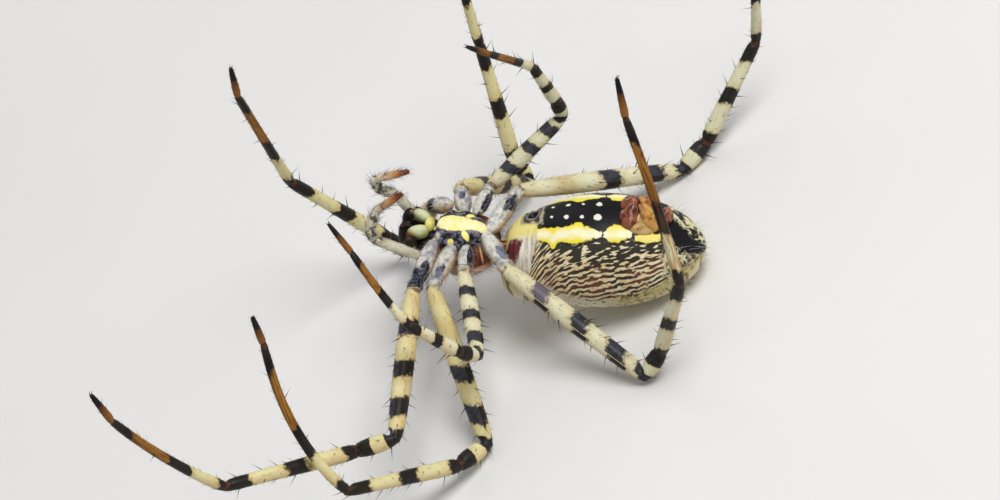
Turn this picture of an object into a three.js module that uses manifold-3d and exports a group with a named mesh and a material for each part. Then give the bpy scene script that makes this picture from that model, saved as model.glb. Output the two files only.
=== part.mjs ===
// Banded garden spider, an orb weaver: an adult female, life size, as a still display model.
// She lies on her back with her legs drawn up, resting on her abdomen and on five knees.
// Units are millimetres, +Z is up and her head points towards -X. The origin is the middle of the
// small flat on which her abdomen rests. Every joint is a mitre that leaves a 0.3 mm gap.
import * as THREE from 'three';
import { mergeVertices } from 'three/addons/utils/BufferGeometryUtils.js';
import Module from 'manifold-3d';

const wasm = await Module();
wasm.setup();

// ---- Driving dimensions -------------------------------------------------------------------------
const gap = 0.3;
const bodyPitch = 20;               // degrees that the head end is raised
const frontYaw = 8;                 // degrees that the front body turns to her left at its rear
const abdomenCentre = [-2.5, 0, 4.18];

const abdomen = { length: 13.9, halfWidth: 4.0, halfHeight: 3.85 };
const carapace = { rear: 7.35, front: 13.3, halfWidth: 2.5, top: -1.2, rim: 0.5 };
const sternum = { rear: 7.95, front: 11.75, halfWidth: 1.6, base: 0.8, face: 2.3 };
const pedicel = { radius: 0.4, up: 0.25 };
const eye = { radius: 0.17, stand: 0.06 };
const spinneret = { ahead: -2.65, spread: 0.82, length: 1.4, radius: 0.64, root: 0.4, lean: 20 };
const spinneretMound = { halves: [1.7, 1.75, 0.9], rise: 0.86 };

// Lengths of the leg's pieces by pair, from the first pair to the last.
const legLengths = [
  { femur: 11.4, patella: 2.9, tibia: 9.8, metatarsus: 11.8, tarsus: 2.6, girth: 1.0 },
  { femur: 11.55, patella: 2.9, tibia: 9.4, metatarsus: 12.0, tarsus: 2.6, girth: 1.0 },
  { femur: 7.2, patella: 2.1, tibia: 4.4, metatarsus: 6.2, tarsus: 2.5, girth: 0.86 },
  { femur: 12.3, patella: 2.7, tibia: 8.2, metatarsus: 12.2, tarsus: 2.8, girth: 1.0 },
];

// Where each pair's coxa leaves the sternum: ahead of the abdomen's centre, aside and up.
const coxaBases = [[11.7, 2.05, 1.45], [10.4, 2.3, 1.45], [9.15, 2.1, 1.55], [7.75, 0.8, 1.6]];

// The pose: each hip in the body's own directions (ahead, to her left, up), then the heading
// and the pitch of each piece in degrees, from the +X axis and from the floor. A metatarsus bows
// outwards by a share of its length, metatarsusBow where its leg doesn't say another.
const legPoses = [
  { side: 'right', pair: 1, hip: [12.9, -4.6, 1.0],
    femur: [-94, -8], patella: [-172, 5], tibia: [-144, 32], metatarsus: [-127, 77], tarsus: [111, 80] },
  { side: 'right', pair: 2, hip: [11.8, -3.9, 0.5], bow: 0.085,
    femur: [-81, -45], patella: [-126, 24], tibia: [-133, 41], metatarsus: [103, 64], tarsus: [27, 77] },
  { side: 'right', pair: 3, hip: [9.5, -3.2, 1.3],
    femur: [-78, -8], patella: [-125, 65], tibia: [-173, 66], metatarsus: [124, 52], tarsus: [125, 49] },
  { side: 'right', pair: 4, hip: [6.6, -2.9, 1.3],
    femur: [-39, -36], patella: [19, 42], tibia: [-6, 56], metatarsus: [84, 62], tarsus: [77, 57] },
  { side: 'left', pair: 1, hip: [12.4, 3.3, 0.6], bow: 0,
    femur: [152, -48], patella: [-98, 82], tibia: [-156, 72], metatarsus: [-39, 75], tarsus: [25, 71] },
  { side: 'left', pair: 2, hip: [10.4, 3.9, 2.0],
    femur: [83, -53], patella: [148, 82], tibia: [71, 67], metatarsus: [40, 74], tarsus: [11, 76] },
  { side: 'left', pair: 3, hip: [8.3, 4.4, 1.3], bow: 0,
    femur: [37, 5], patella: [-52, 76], tibia: [-53, 82], metatarsus: [-97, 60], tarsus: [-114, 63] },
  { side: 'left', pair: 4, hip: [6.3, 4.1, 1.3],
    femur: [27, -35], patella: [40, 11], tibia: [36, 33], metatarsus: [13, 70], tarsus: [44, 68] },
];

const metatarsusBow = 0.025;

// Radii where two pieces of a leg meet, and at the middle of each piece.
const jointRadius = { base: 0.46, hip: 0.52, knee: 0.6, shin: 0.54, ankle: 0.4, foot: 0.27 };
const middleRadius = { femur: 0.7, patella: 0.64, tibia: 0.52, metatarsus: 0.33, tarsus: 0.25 };
const legSides = { coxa: 12, femur: 12, patella: 10, tibia: 10, metatarsus: 8, tarsus: 8 };
const clawRadius = 0.1;

// The feelers beside the mouth: a base each, then length, heading and pitch of four pieces.
const palpBases = { left: [12.99, 2.06, 0.22], right: [12.95, -1.0, 0.42] };
const palpLengths = [3.4, 1.1, 1.5, 2.5];
const palpRadii = [0.34, 0.36, 0.36, 0.33, 0.16];
const palpTurns = {
  left: [[155, 81], [174, 36], [-39, 72], [15, -17]],
  right: [[-177, 54], [7, 81], [37, 38], [6, 18]],
};

const cream = 0xe6dfc4;
const finishes = {
  abdomen: { color: 0xd8cf9a, roughness: 0.55 },
  carapace: { color: 0xa9977c, roughness: 0.7 },
  sternum: { color: 0xf0e86a, roughness: 0.5 },
  mouth: { color: 0xd8d97a, roughness: 0.5 },
  chelicera: { color: 0x2a2422, roughness: 0.35 },
  spinneret: { color: 0x9a4a2c, roughness: 0.45 },
  palp: { color: 0xdccf9f, roughness: 0.6 },
  coxa: { color: 0xcfcdc8, roughness: 0.6 },
  femur: { color: cream, roughness: 0.55 },
  patella: { color: cream, roughness: 0.55 },
  tibia: { color: cream, roughness: 0.55 },
  metatarsus: { color: 0xb07a2c, roughness: 0.5 },
  tarsus: { color: 0x3a1c10, roughness: 0.45 },
};

// ---- Frame --------------------------------------------------------------------------------------
const radians = THREE.MathUtils.degToRad;
const bodyFrame = new THREE.Matrix4()
  .makeRotationY(radians(bodyPitch))
  .setPosition(...abdomenCentre);

// The front body turns about its own rear end, where the waist holds it.
const frontFrame = bodyFrame.clone()
  .multiply(new THREE.Matrix4().makeTranslation(-carapace.rear, 0, 0))
  .multiply(new THREE.Matrix4().makeRotationZ(radians(-frontYaw)))
  .multiply(new THREE.Matrix4().makeTranslation(carapace.rear, 0, 0));

// A point in the body's own directions: ahead of the abdomen's centre, to her left, and towards
// her underside, which faces up.
function bodyPoint(ahead, left, up, frame = bodyFrame) {
  return new THREE.Vector3(-ahead, left, up).applyMatrix4(frame);
}

const frontPoint = (ahead, left, up) => bodyPoint(ahead, left, up, frontFrame);

function direction([heading, pitch]) {
  const level = Math.cos(radians(pitch));
  return new THREE.Vector3(
    level * Math.cos(radians(heading)),
    level * Math.sin(radians(heading)),
    Math.sin(radians(pitch)),
  );
}

// ---- Solids -------------------------------------------------------------------------------------
function toSolid(geometry) {
  const bare = geometry.clone();
  bare.deleteAttribute('normal');
  bare.deleteAttribute('uv');
  const merged = mergeVertices(bare, 1e-5);
  return new wasm.Manifold(new wasm.Mesh({
    numProp: 3,
    vertProperties: new Float32Array(merged.attributes.position.array),
    triVerts: new Uint32Array(merged.index.array),
  }));
}

function toGeometry(solid) {
  const { vertProperties, triVerts } = solid.getMesh();
  const geometry = new THREE.BufferGeometry();
  geometry.setAttribute('position', new THREE.BufferAttribute(vertProperties, 3));
  geometry.setIndex(new THREE.BufferAttribute(triVerts, 1));
  geometry.computeVertexNormals();
  return geometry;
}

// The largest closed surface of a solid, without loose scraps.
function largest(solid) {
  return solid.decompose().reduce((best, piece) => (piece.volume() > best.volume() ? piece : best));
}

// A round solid along +Z from [radius, height] pairs that start and end on the axis.
function turned(profile, sides) {
  const points = profile.map(([radius, height]) => new THREE.Vector2(radius, height));
  return new THREE.LatheGeometry(points, sides).rotateX(Math.PI / 2);
}

// The same solid, with its height axis laid from one point along a direction.
function along(geometry, start, heading) {
  const turn = new THREE.Quaternion().setFromUnitVectors(new THREE.Vector3(0, 0, 1), heading);
  return geometry.applyQuaternion(turn).translate(start.x, start.y, start.z);
}

// A rounded end of a turned profile: it climbs from the axis to the full radius.
function roundedStart(radius, height = 0) {
  return [90, 45, 0].map((angle) => [
    radius * Math.cos(radians(angle)) * (angle < 90),
    height - radius * Math.sin(radians(angle)),
  ]);
}

function roundedEnd(radius, height) {
  return roundedStart(radius).map(([r, h]) => [r, height - h]).reverse();
}

// A turned solid bowed to one side: its height axis runs from the start along the heading, and its
// middle is pushed towards the given side by a share of the length.
function bowed(geometry, start, heading, side, share, length) {
  const positions = geometry.attributes.position;
  for (let place = 0; place < positions.count; place += 1) {
    const reach = Math.min(Math.max(positions.getZ(place) / length, 0), 1);
    positions.setX(place, positions.getX(place) + 4 * share * length * reach * (1 - reach));
  }
  const across = new THREE.Vector3().crossVectors(heading, side);
  const frame = new THREE.Matrix4().makeBasis(side, across, heading).setPosition(start);
  return geometry.applyMatrix4(frame);
}

function ball(centre, halves, frame, widthSteps = 14, heightSteps = 10) {
  return new THREE.SphereGeometry(1, widthSteps, heightSteps)
    .rotateX(Math.PI / 2)
    .scale(halves[0], halves[1], halves[2])
    .translate(-centre[0], centre[1], centre[2])
    .applyMatrix4(frame);
}

// A closed body along the head's direction from sections { ahead, half, top, bottom }, each an
// oval whose widest level lies at a fixed share of its height. A section may have a back, which
// is its own half, bottom and ahead on the side away from her underside.
const widestShare = 0.42;

function lofted(sections, sides, frame) {
  const positions = [];
  const index = [];
  const first = sections[0];
  const last = sections[sections.length - 1];
  const rings = sections.slice(1, -1);
  const poleHeight = (section) => (section.top + section.bottom) / 2;
  positions.push(-first.ahead, 0, poleHeight(first));
  for (const { ahead, half, top, bottom, back = { ahead, half, bottom } } of rings) {
    const middle = bottom + (top - bottom) * widestShare;
    for (let side = 0; side < sides; side += 1) {
      const angle = (2 * Math.PI * side) / sides;
      const rise = Math.sin(angle);
      const share = THREE.MathUtils.smoothstep(-rise, -0.6, 0.6);
      const low = THREE.MathUtils.lerp(bottom, back.bottom, share);
      const height = rise > 0 ? top - middle : middle - low;
      positions.push(
        -THREE.MathUtils.lerp(ahead, back.ahead, share),
        THREE.MathUtils.lerp(half, back.half, share) * Math.cos(angle),
        middle + rise * height,
      );
    }
  }
  positions.push(-last.ahead, 0, poleHeight(last));
  const lastPole = positions.length / 3 - 1;
  for (let side = 0; side < sides; side += 1) {
    const next = (side + 1) % sides;
    index.push(0, 1 + side, 1 + next);
    for (let ring = 0; ring < rings.length - 1; ring += 1) {
      const near = 1 + ring * sides;
      const far = near + sides;
      index.push(near + side, far + side, far + next, near + side, far + next, near + next);
    }
    index.push(lastPole, lastPole - sides + next, lastPole - sides + side);
  }
  const geometry = new THREE.BufferGeometry();
  geometry.setAttribute('position', new THREE.Float32BufferAttribute(positions, 3));
  geometry.setIndex(index);
  return geometry.applyMatrix4(frame);
}

// A cut at a joint: what is left lies behind (-1) or ahead (+1) of the plane that halves the bend.
function mitred(solid, joint, before, after, side) {
  const normal = before.clone().add(after).normalize().multiplyScalar(side);
  return solid.trimByPlane(normal.toArray(), normal.dot(joint) + gap / 2);
}

const overFloor = (solid) => solid.trimByPlane([0, 0, 1], 0);

// ---- Scene --------------------------------------------------------------------------------------
const group = new THREE.Group();

function addNode(name, solid, finish, pivot = new THREE.Vector3()) {
  const geometry = toGeometry(largest(solid)).translate(-pivot.x, -pivot.y, -pivot.z);
  const material = new THREE.MeshStandardMaterial({ metalness: 0, ...finishes[finish] });
  const mesh = new THREE.Mesh(geometry, material);
  mesh.name = name;
  mesh.position.copy(pivot);
  group.add(mesh);
}

// ---- Abdomen ------------------------------------------------------------------------------------
// Half widths along its length from the rear, as shares of the full half width: first the
// underside's, then the back's, which is blunt in front and juts over the carapace.
const abdomenOutline = [
  [0.0, 0.0, 0.0], [0.012, 0.2, 0.2], [0.04, 0.37, 0.37], [0.1, 0.58, 0.58], [0.19, 0.77, 0.77],
  [0.28, 0.89, 0.89], [0.38, 0.965, 0.965], [0.5, 1.0, 1.0], [0.6, 0.98, 1.0], [0.69, 0.91, 0.99],
  [0.77, 0.81, 0.97], [0.84, 0.7, 0.94], [0.9, 0.59, 0.89], [0.95, 0.46, 0.79], [0.985, 0.29, 0.6],
  [1.0, 0.0, 0.0],
];
const abdomenJut = 0.45;
const backDepth = 0.98;             // of the back, as a share of the underside's height

function abdomenSolid(extra) {
  const scale = 1 + (2 * extra) / abdomen.length;
  const sections = abdomenOutline.map(([share, width, backWidth]) => {
    const grow = width > 0 ? extra : 0;
    const ahead = (share - 0.5) * abdomen.length * scale;
    const up = abdomen.halfHeight * width + grow;
    return {
      ahead,
      half: abdomen.halfWidth * width + grow,
      top: up,
      bottom: -up * backDepth,
      back: {
        ahead: ahead + abdomenJut * THREE.MathUtils.smoothstep(share, 0.8, 1),
        half: abdomen.halfWidth * backWidth + grow,
        bottom: -(abdomen.halfHeight * backWidth + grow) * backDepth,
      },
    };
  });
  return toSolid(lofted(sections, 32, bodyFrame));
}

// ---- Spinnerets: two front ones, two rear ones and a low mound that carries them ----------------
function spinneretSolid() {
  const { ahead, spread, length, radius, root, lean } = spinneret;
  const seatUp = abdomen.halfHeight * spinneretMound.rise;
  const mound = ball([ahead, 0, seatUp], spinneretMound.halves, bodyFrame, 18, 10);
  const tipSpread = spread - Math.sin(radians(lean)) * length;
  const profile = [
    [0, -root],
    [radius, -root],
    [radius, length * 0.45],
    ...roundedEnd(radius * 0.5, length * 0.85),
  ];
  const cones = [45, 135, 225, 315].map((angle) => {
    const [forward, aside] = [Math.cos(radians(angle)), Math.sin(radians(angle))];
    const foot = bodyPoint(ahead + forward * spread, aside * spread, seatUp);
    const tip = bodyPoint(ahead + forward * tipSpread, aside * tipSpread, seatUp + length);
    return toSolid(along(turned(profile, 12), foot, tip.sub(foot).normalize()));
  });
  const whole = cones.reduce((sum, cone) => sum.add(cone), toSolid(mound));
  return whole.subtract(abdomenSolid(gap));
}

// ---- Legs ---------------------------------------------------------------------------------------
const fullHip = ({ hip }) => bodyPoint(...hip);

function coxaBase({ side, pair }) {
  const [ahead, aside, up] = coxaBases[pair - 1];
  return frontPoint(ahead, side === 'left' ? aside : -aside, up);
}

// Coxa and trochanter in one: a swollen ring, a neck, and a small ring before the hip.
function coxaSolid(leg, extra = 0) {
  const { girth } = legLengths[leg.pair - 1];
  const base = coxaBase(leg);
  const span = fullHip(leg).sub(base);
  const length = span.length();
  const start = jointRadius.base * girth + extra;
  const end = jointRadius.hip * girth + extra;
  const profile = [
    ...roundedStart(start),
    [start + 0.12, length * 0.3],
    [start + 0.1, length * 0.55],
    [end - 0.08, length * 0.74],
    [end + 0.02, length * 0.86],
    ...roundedEnd(end, length),
  ];
  return toSolid(along(turned(profile, legSides.coxa), base, span.normalize()));
}

const pieceOrder = ['femur', 'patella', 'tibia', 'metatarsus', 'tarsus'];
const startJoint = { femur: 'hip', patella: 'knee', tibia: 'shin', metatarsus: 'ankle', tarsus: 'foot' };
const endJoint = { femur: 'knee', patella: 'shin', tibia: 'ankle', metatarsus: 'foot' };

function legPiece(piece, length, girth) {
  const start = jointRadius[startJoint[piece]] * girth;
  const middle = middleRadius[piece] * girth;
  if (piece === 'tarsus') {
    return turned([
      ...roundedStart(start),
      [middle, length * 0.5],
      [middle * 0.8, length * 0.85],
      ...roundedEnd(clawRadius, length - clawRadius),
    ], legSides.tarsus);
  }
  const end = jointRadius[endJoint[piece]] * girth;
  const shares = piece === 'metatarsus' ? [0.12, 0.26, 0.4, 0.55, 0.7, 0.85] : [0.15, 0.4, 0.8];
  const shaft = shares.map((share) => {
    const towards = share < 0.4 ? THREE.MathUtils.lerp(start, middle, share / 0.4)
      : THREE.MathUtils.lerp(middle, end, (share - 0.4) / 0.6);
    return [towards, length * share];
  });
  return turned([...roundedStart(start), ...shaft, ...roundedEnd(end, length)], legSides[piece]);
}

function addLeg(leg) {
  const sizes = legLengths[leg.pair - 1];
  const name = `leg_${leg.side}_${leg.pair}`;
  const hip = fullHip(leg);
  const base = coxaBase(leg);
  let before = hip.clone().sub(base).normalize();
  let joint = hip;
  pieceOrder.forEach((piece, place) => {
    const heading = direction(leg[piece]);
    const length = sizes[piece];
    const end = joint.clone().addScaledVector(heading, length);
    const shape = legPiece(piece, length, sizes.girth);
    const outward = before.clone().projectOnPlane(heading).normalize();
    const share = piece === 'metatarsus' ? leg.bow ?? metatarsusBow : 0;
    let solid = toSolid(bowed(shape, joint, heading, outward, share, length));
    solid = mitred(solid, joint, before, heading, 1);
    const following = pieceOrder[place + 1];
    if (following) {
      solid = mitred(solid, end, heading, direction(leg[following]), -1);
    }
    addNode(`${name}_${piece}`, overFloor(solid), piece, joint);
    before = heading;
    joint = end;
  });
}

function addCoxae() {
  legPoses.forEach((leg, place) => {
    const hip = fullHip(leg);
    const heading = hip.clone().sub(coxaBase(leg)).normalize();
    let solid = mitred(coxaSolid(leg), hip, heading, direction(leg.femur), -1);
    legPoses.slice(0, place)
      .filter((other) => other.side === leg.side || (other.pair === 4 && leg.pair === 4))
      .forEach((other) => {
        solid = solid.subtract(coxaSolid(other, gap));
      });
    solid = solid.subtract(abdomenSolid(gap));
    addNode(`leg_${leg.side}_${leg.pair}_coxa`, solid, 'coxa', coxaBase(leg));
  });
}

const allCoxaRoom = () => legPoses
  .map((leg) => coxaSolid(leg, gap))
  .reduce((sum, solid) => sum.add(solid));

// ---- Front body ---------------------------------------------------------------------------------
// Shares of the length from the rear, of the half width, of the top's height.
const carapaceOutline = [
  [0, 0, 0.3], [0.03, 0.42, 0.55], [0.12, 0.74, 0.8], [0.28, 0.97, 0.96], [0.42, 1, 1],
  [0.56, 0.9, 0.97], [0.7, 0.68, 0.95], [0.84, 0.55, 0.95], [0.95, 0.47, 0.82], [0.99, 0.36, 0.6],
  [1, 0, 0.4],
];

// Two rows of four eyes: ahead, aside and up for the middle of a row, which bends back and down by
// rowBend of the distance aside.
const rowBend = 0.28;
const eyeRows = [
  { ahead: 12.45, asides: [0.36, 0.95], top: -1.02 },
  { ahead: 13.1, asides: [0.3, 0.82], top: -0.72 },
];

function carapaceSolid(room) {
  const length = carapace.front - carapace.rear;
  const sections = carapaceOutline.map(([share, width, height]) => ({
    ahead: carapace.rear + share * length,
    half: carapace.halfWidth * width,
    top: carapace.rim,
    bottom: carapace.rim + (carapace.top - carapace.rim) * height,
  }));
  const neck = toSolid(along(
    turned([[0, 0], [pedicel.radius, 0], [pedicel.radius, 1.6], [0, 1.6]], 12),
    frontPoint(carapace.rear + 1.1, 0, pedicel.up),
    bodyPoint(-1, 0, 0).sub(bodyPoint(0, 0, 0)).normalize(),
  ));
  let solid = toSolid(lofted(sections, 28, frontFrame)).add(neck);
  for (const { ahead, asides, top } of eyeRows) {
    for (const aside of asides.flatMap((value) => [value, -value])) {
      const drop = Math.abs(aside) * rowBend;
      const centre = [ahead - drop, aside, top + drop - eye.stand];
      const lens = ball(centre, [eye.radius, eye.radius, eye.radius], frontFrame, 8, 6);
      solid = solid.add(toSolid(lens));
    }
  }
  return solid.subtract(room).subtract(abdomenSolid(gap));
}

const sternumOutline = [
  [0, 0, 0.5], [0.04, 0.28, 0.8], [0.2, 0.62, 0.97], [0.4, 0.9, 1], [0.62, 1, 1], [0.82, 0.9, 0.97],
  [0.95, 0.66, 0.86], [0.99, 0.45, 0.7], [1, 0, 0.5],
];

function sternumSolid(room) {
  const length = sternum.front - sternum.rear;
  const sections = sternumOutline.map(([share, width, height]) => ({
    ahead: sternum.rear + share * length,
    half: sternum.halfWidth * width,
    top: sternum.base + (sternum.face - sternum.base) * height,
    bottom: sternum.base,
  }));
  return toSolid(lofted(sections, 24, frontFrame)).subtract(room);
}

// Labium, endites and chelicerae are lobes, each cut clear of the one before it. An endite has a
// second lobe, its outer end, which carries the feeler.
const lobes = {
  labium: { centre: [12.2, 0, 1.85], halves: [0.36, 0.6, 0.38] },
  endite: { centre: [12.95, 0.6, 1.7], halves: [0.68, 0.46, 0.6] },
  outerEndite: { centre: [13.2, 1.2, 1.35], halves: [0.46, 0.42, 0.5] },
  chelicera: { centre: [13.95, 0.58, 0.95], halves: [0.56, 0.5, 1.3] },
};
const sides = [['left', 1], ['right', -1]];

function lobe(name, side = 1, extra = 0) {
  const { centre, halves } = lobes[name];
  const place = [centre[0], centre[1] * side, centre[2]];
  return toSolid(ball(place, halves.map((half) => half + extra), frontFrame));
}

const enditeSolid = (side, extra = 0) => lobe('endite', side, extra)
  .add(lobe('outerEndite', side, extra));

function palpSolid(label, extra = 0) {
  let joint = bodyPoint(...palpBases[label]);
  const pieces = palpLengths.map((length, place) => {
    const heading = direction(palpTurns[label][place]);
    const start = palpRadii[place] + extra;
    const end = palpRadii[place + 1] + extra;
    const swollen = (start + end) / 2 + 0.03;
    const profile = [...roundedStart(start), [swollen, length / 2], ...roundedEnd(end, length)];
    const solid = toSolid(along(turned(profile, 10), joint, heading));
    joint = joint.clone().addScaledVector(heading, length);
    return solid;
  });
  return pieces.reduce((sum, piece) => sum.add(piece));
}

function addMouth(room) {
  const { centre: jaw } = lobes.chelicera;
  addNode('labium', lobe('labium').subtract(room), 'mouth', frontPoint(...lobes.labium.centre));
  for (const [label, side] of sides) {
    const { centre } = lobes.endite;
    const pivot = frontPoint(centre[0], centre[1] * side, centre[2]);
    const endite = enditeSolid(side).subtract(lobe('labium', 1, gap)).subtract(room);
    addNode(`endite_${label}`, endite, 'mouth', pivot);
    const chelicera = lobe('chelicera', side).subtract(enditeSolid(side, gap));
    addNode(`chelicera_${label}`, chelicera, 'chelicera', frontPoint(jaw[0], jaw[1] * side, jaw[2]));
    const palp = palpSolid(label).subtract(enditeSolid(side, gap))
      .subtract(lobe('chelicera', side, gap)).subtract(room);
    addNode(`palp_${label}`, palp, 'palp', bodyPoint(...palpBases[label]));
  }
}

// ---- Assembly -----------------------------------------------------------------------------------
const room = allCoxaRoom();
const mouthRoom = sides
  .flatMap(([label, side]) => [
    enditeSolid(side, gap), lobe('chelicera', side, gap), palpSolid(label, gap),
  ])
  .reduce((sum, solid) => sum.add(solid), lobe('labium', 1, gap));
const front = carapaceSolid(room).subtract(mouthRoom);
const chest = sternumSolid(room).subtract(mouthRoom);
addNode('abdomen', overFloor(abdomenSolid(0)), 'abdomen');
addNode('spinnerets', spinneretSolid(), 'spinneret', bodyPoint(spinneret.ahead, 0, abdomen.halfHeight));
addNode('carapace', front, 'carapace', frontPoint(carapace.rear, 0, carapace.rim));
addNode('sternum', chest, 'sternum', frontPoint(sternum.rear, 0, sternum.base));
addMouth(room);
addCoxae();
legPoses.forEach(addLeg);

export default group;
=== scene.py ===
"""Banded garden spider, an orb weaver: the skin, markings, coat and stage of a life-size female.

She lies on her back with her legs drawn up. The frame holds her solid pieces, and everything here
is made round it, in metres. Her own directions are ahead, to her left, and up, towards her
underside, which faces away from the floor; they start at the middle of her abdomen.
"""

import math
import typing

import bpy
import numpy as np
from mathutils import Matrix, Vector


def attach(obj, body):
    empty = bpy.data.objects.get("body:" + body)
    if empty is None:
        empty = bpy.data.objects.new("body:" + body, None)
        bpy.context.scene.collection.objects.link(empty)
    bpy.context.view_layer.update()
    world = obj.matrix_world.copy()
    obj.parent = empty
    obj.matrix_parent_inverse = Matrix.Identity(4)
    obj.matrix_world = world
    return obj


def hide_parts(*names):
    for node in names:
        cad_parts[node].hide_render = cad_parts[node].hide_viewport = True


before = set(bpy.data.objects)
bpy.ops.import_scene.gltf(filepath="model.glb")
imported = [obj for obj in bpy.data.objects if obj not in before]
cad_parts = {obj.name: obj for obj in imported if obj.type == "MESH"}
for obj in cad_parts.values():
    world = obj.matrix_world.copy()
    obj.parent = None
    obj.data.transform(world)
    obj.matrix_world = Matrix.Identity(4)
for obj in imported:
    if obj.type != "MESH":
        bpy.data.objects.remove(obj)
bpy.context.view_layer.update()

bl_info = {
    "name": "Banded Orb Weaver",
    "version": (1, 0, 0),
    "blender": (4, 5, 0),
    "location": "View3D > Sidebar > Orb Weaver",
    "description": "Builds the skin, markings, coat and stage of a life-size orb weaver",
    "category": "Object",
}

MM = 0.001
SEED = 7
LOWEST = 0.02 * MM  # how near to the floor a skin may come
UNWRAP = "skin_unwrap"  # the UV map of the skins
PATCH = 0.003  # side of the patch of that map from which a hair is baked

# ---- Her body in the frame ----
BODY_PITCH = math.radians(20)
ABDOMEN_CENTRE = np.array([-2.5, 0.0, 4.18]) * MM
FRONT_YAW = math.radians(8)
FRONT_PIVOT = 7.35
GAP = 0.3 * MM
SIDES = ("left", "right")
PIECES = ("coxa", "femur", "patella", "tibia", "metatarsus", "tarsus")


def turn_to_world(directions):
    """Directions given as ahead, left and up, as directions of the frame."""
    ahead, left, up = np.moveaxis(np.asarray(directions, float), -1, 0)
    c, s = math.cos(BODY_PITCH), math.sin(BODY_PITCH)
    return np.stack([up * s - ahead * c, left, up * c + ahead * s], -1)


def to_world(places):
    """Places in millimetres ahead, left and up, as points of the frame."""
    return turn_to_world(np.asarray(places, float) * MM) + ABDOMEN_CENTRE


def turned_front(directions):
    """Directions of the front body, which is turned to her left, as directions of her abdomen."""
    ahead, left, up = np.moveaxis(np.asarray(directions, float), -1, 0)
    c, s = math.cos(FRONT_YAW), math.sin(FRONT_YAW)
    return np.stack([ahead * c - left * s, ahead * s + left * c, up], -1)


def front_to_world(places):
    """Places of the front body in millimetres ahead, left and up, as points of the frame."""
    pivot = np.array([FRONT_PIVOT, 0.0, 0.0])
    return to_world(turned_front(np.asarray(places, float) - pivot) + pivot)


def front_turn_to_world(directions):
    return turn_to_world(turned_front(directions))


def unit(vectors):
    vectors = np.asarray(vectors, float)
    return vectors / np.maximum(np.linalg.norm(vectors, axis=-1, keepdims=True), 1e-12)


def smooth(x, xs, ys):
    """A smooth curve through a few points."""
    xs, ys = np.asarray(xs, float), np.asarray(ys, float)
    slopes = np.gradient(ys, xs)
    x = np.clip(x, xs[0], xs[-1])
    low = np.clip(np.searchsorted(xs, x) - 1, 0, len(xs) - 2)
    step = xs[low + 1] - xs[low]
    t = (x - xs[low]) / step
    start, end = ys[low], ys[low + 1]
    bend = t * (1 - t) * ((slopes[low] * step - end + start) * (1 - t)
                          - (slopes[low + 1] * step - end + start) * t)
    return start + (end - start) * t + bend


def eased(value, low, high):
    t = np.clip((np.asarray(value, float) - low) / (high - low), 0, 1)
    return t * t * (3 - 2 * t)


def round_angles(count):
    """Angles of a ring's points, evenly round."""
    return 2 * math.pi * np.arange(count) / count


def bump(distance, width):
    return np.exp(-((distance / width) ** 2))


# ---- Measures of the frame's pieces ----
CUT_SLACK = 0.1 * GAP  # how much nearer or farther the cut of a neighbour may lie
OPPOSITE = -0.999  # cosine of the angle between two cuts that face each other
TIP_SLACK = 0.02 * MM

# How the rings of a bowed piece are told apart: the shares of its length without any at its ends,
# how wide and how far apart they are, their fewest corners, and how far from round they may be.
BOW_ENDS, RING_WIDTH, RING_APART, RING_CORNERS, ROUND_RING = 0.1, 0.012, 0.05, 8, 0.1 * MM


def node_points(node):
    """The corners of a node's mesh."""
    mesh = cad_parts[node].data
    points = np.empty(len(mesh.vertices) * 3, np.float32)
    mesh.vertices.foreach_get("co", points)
    return points.reshape(-1, 3).astype(float)


def cuts(node, other):
    """Flat ends of a piece that may face its neighbour across the gap: normal, area and middle."""
    facing = node_points(other)
    found = {}
    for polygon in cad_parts[node].data.polygons:
        normal, centre = np.array(polygon.normal), np.array(polygon.center)
        reach = (facing @ normal).min() - normal @ centre
        if abs(reach - GAP) < CUT_SLACK:
            entry = found.setdefault(tuple(np.round(normal, 2)), [normal, 0.0, np.zeros(3)])
            entry[1] += polygon.area
            entry[2] = entry[2] + polygon.area * centre
    return [(normal, area, total / area) for normal, area, total in found.values()]


def joint_between(node, other):
    """The joint of two pieces lies midway between the two ends that face each other."""
    pairs = [(min(a[1], b[1]), (a[2] + b[2]) / 2) for a in cuts(node, other) for b in cuts(other, node)
             if a[0] @ b[0] < OPPOSITE]
    if not pairs:
        raise RuntimeError(f"no joint between {node} and {other}")
    return max(pairs, key=lambda pair: pair[0])[1]


class Piece:
    """One piece of a limb: its two ends, and its bow and radius at a few shares of its length."""

    def __init__(self, start, end, shares, radii, bows=None):
        self.start, self.end = np.asarray(start, float), np.asarray(end, float)
        self.length = np.linalg.norm(self.end - self.start)
        self.axis = unit(self.end - self.start)
        self.shares, self.radii = shares, radii
        self.bows = np.zeros((len(shares), 3)) if bows is None else bows

    def radius(self, share):
        return smooth(share, self.shares, self.radii)

    def centre(self, share):
        bow = np.array([smooth(share, self.shares, self.bows[:, i]) for i in range(3)])
        return self.start + self.axis * self.length * share + bow


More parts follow.
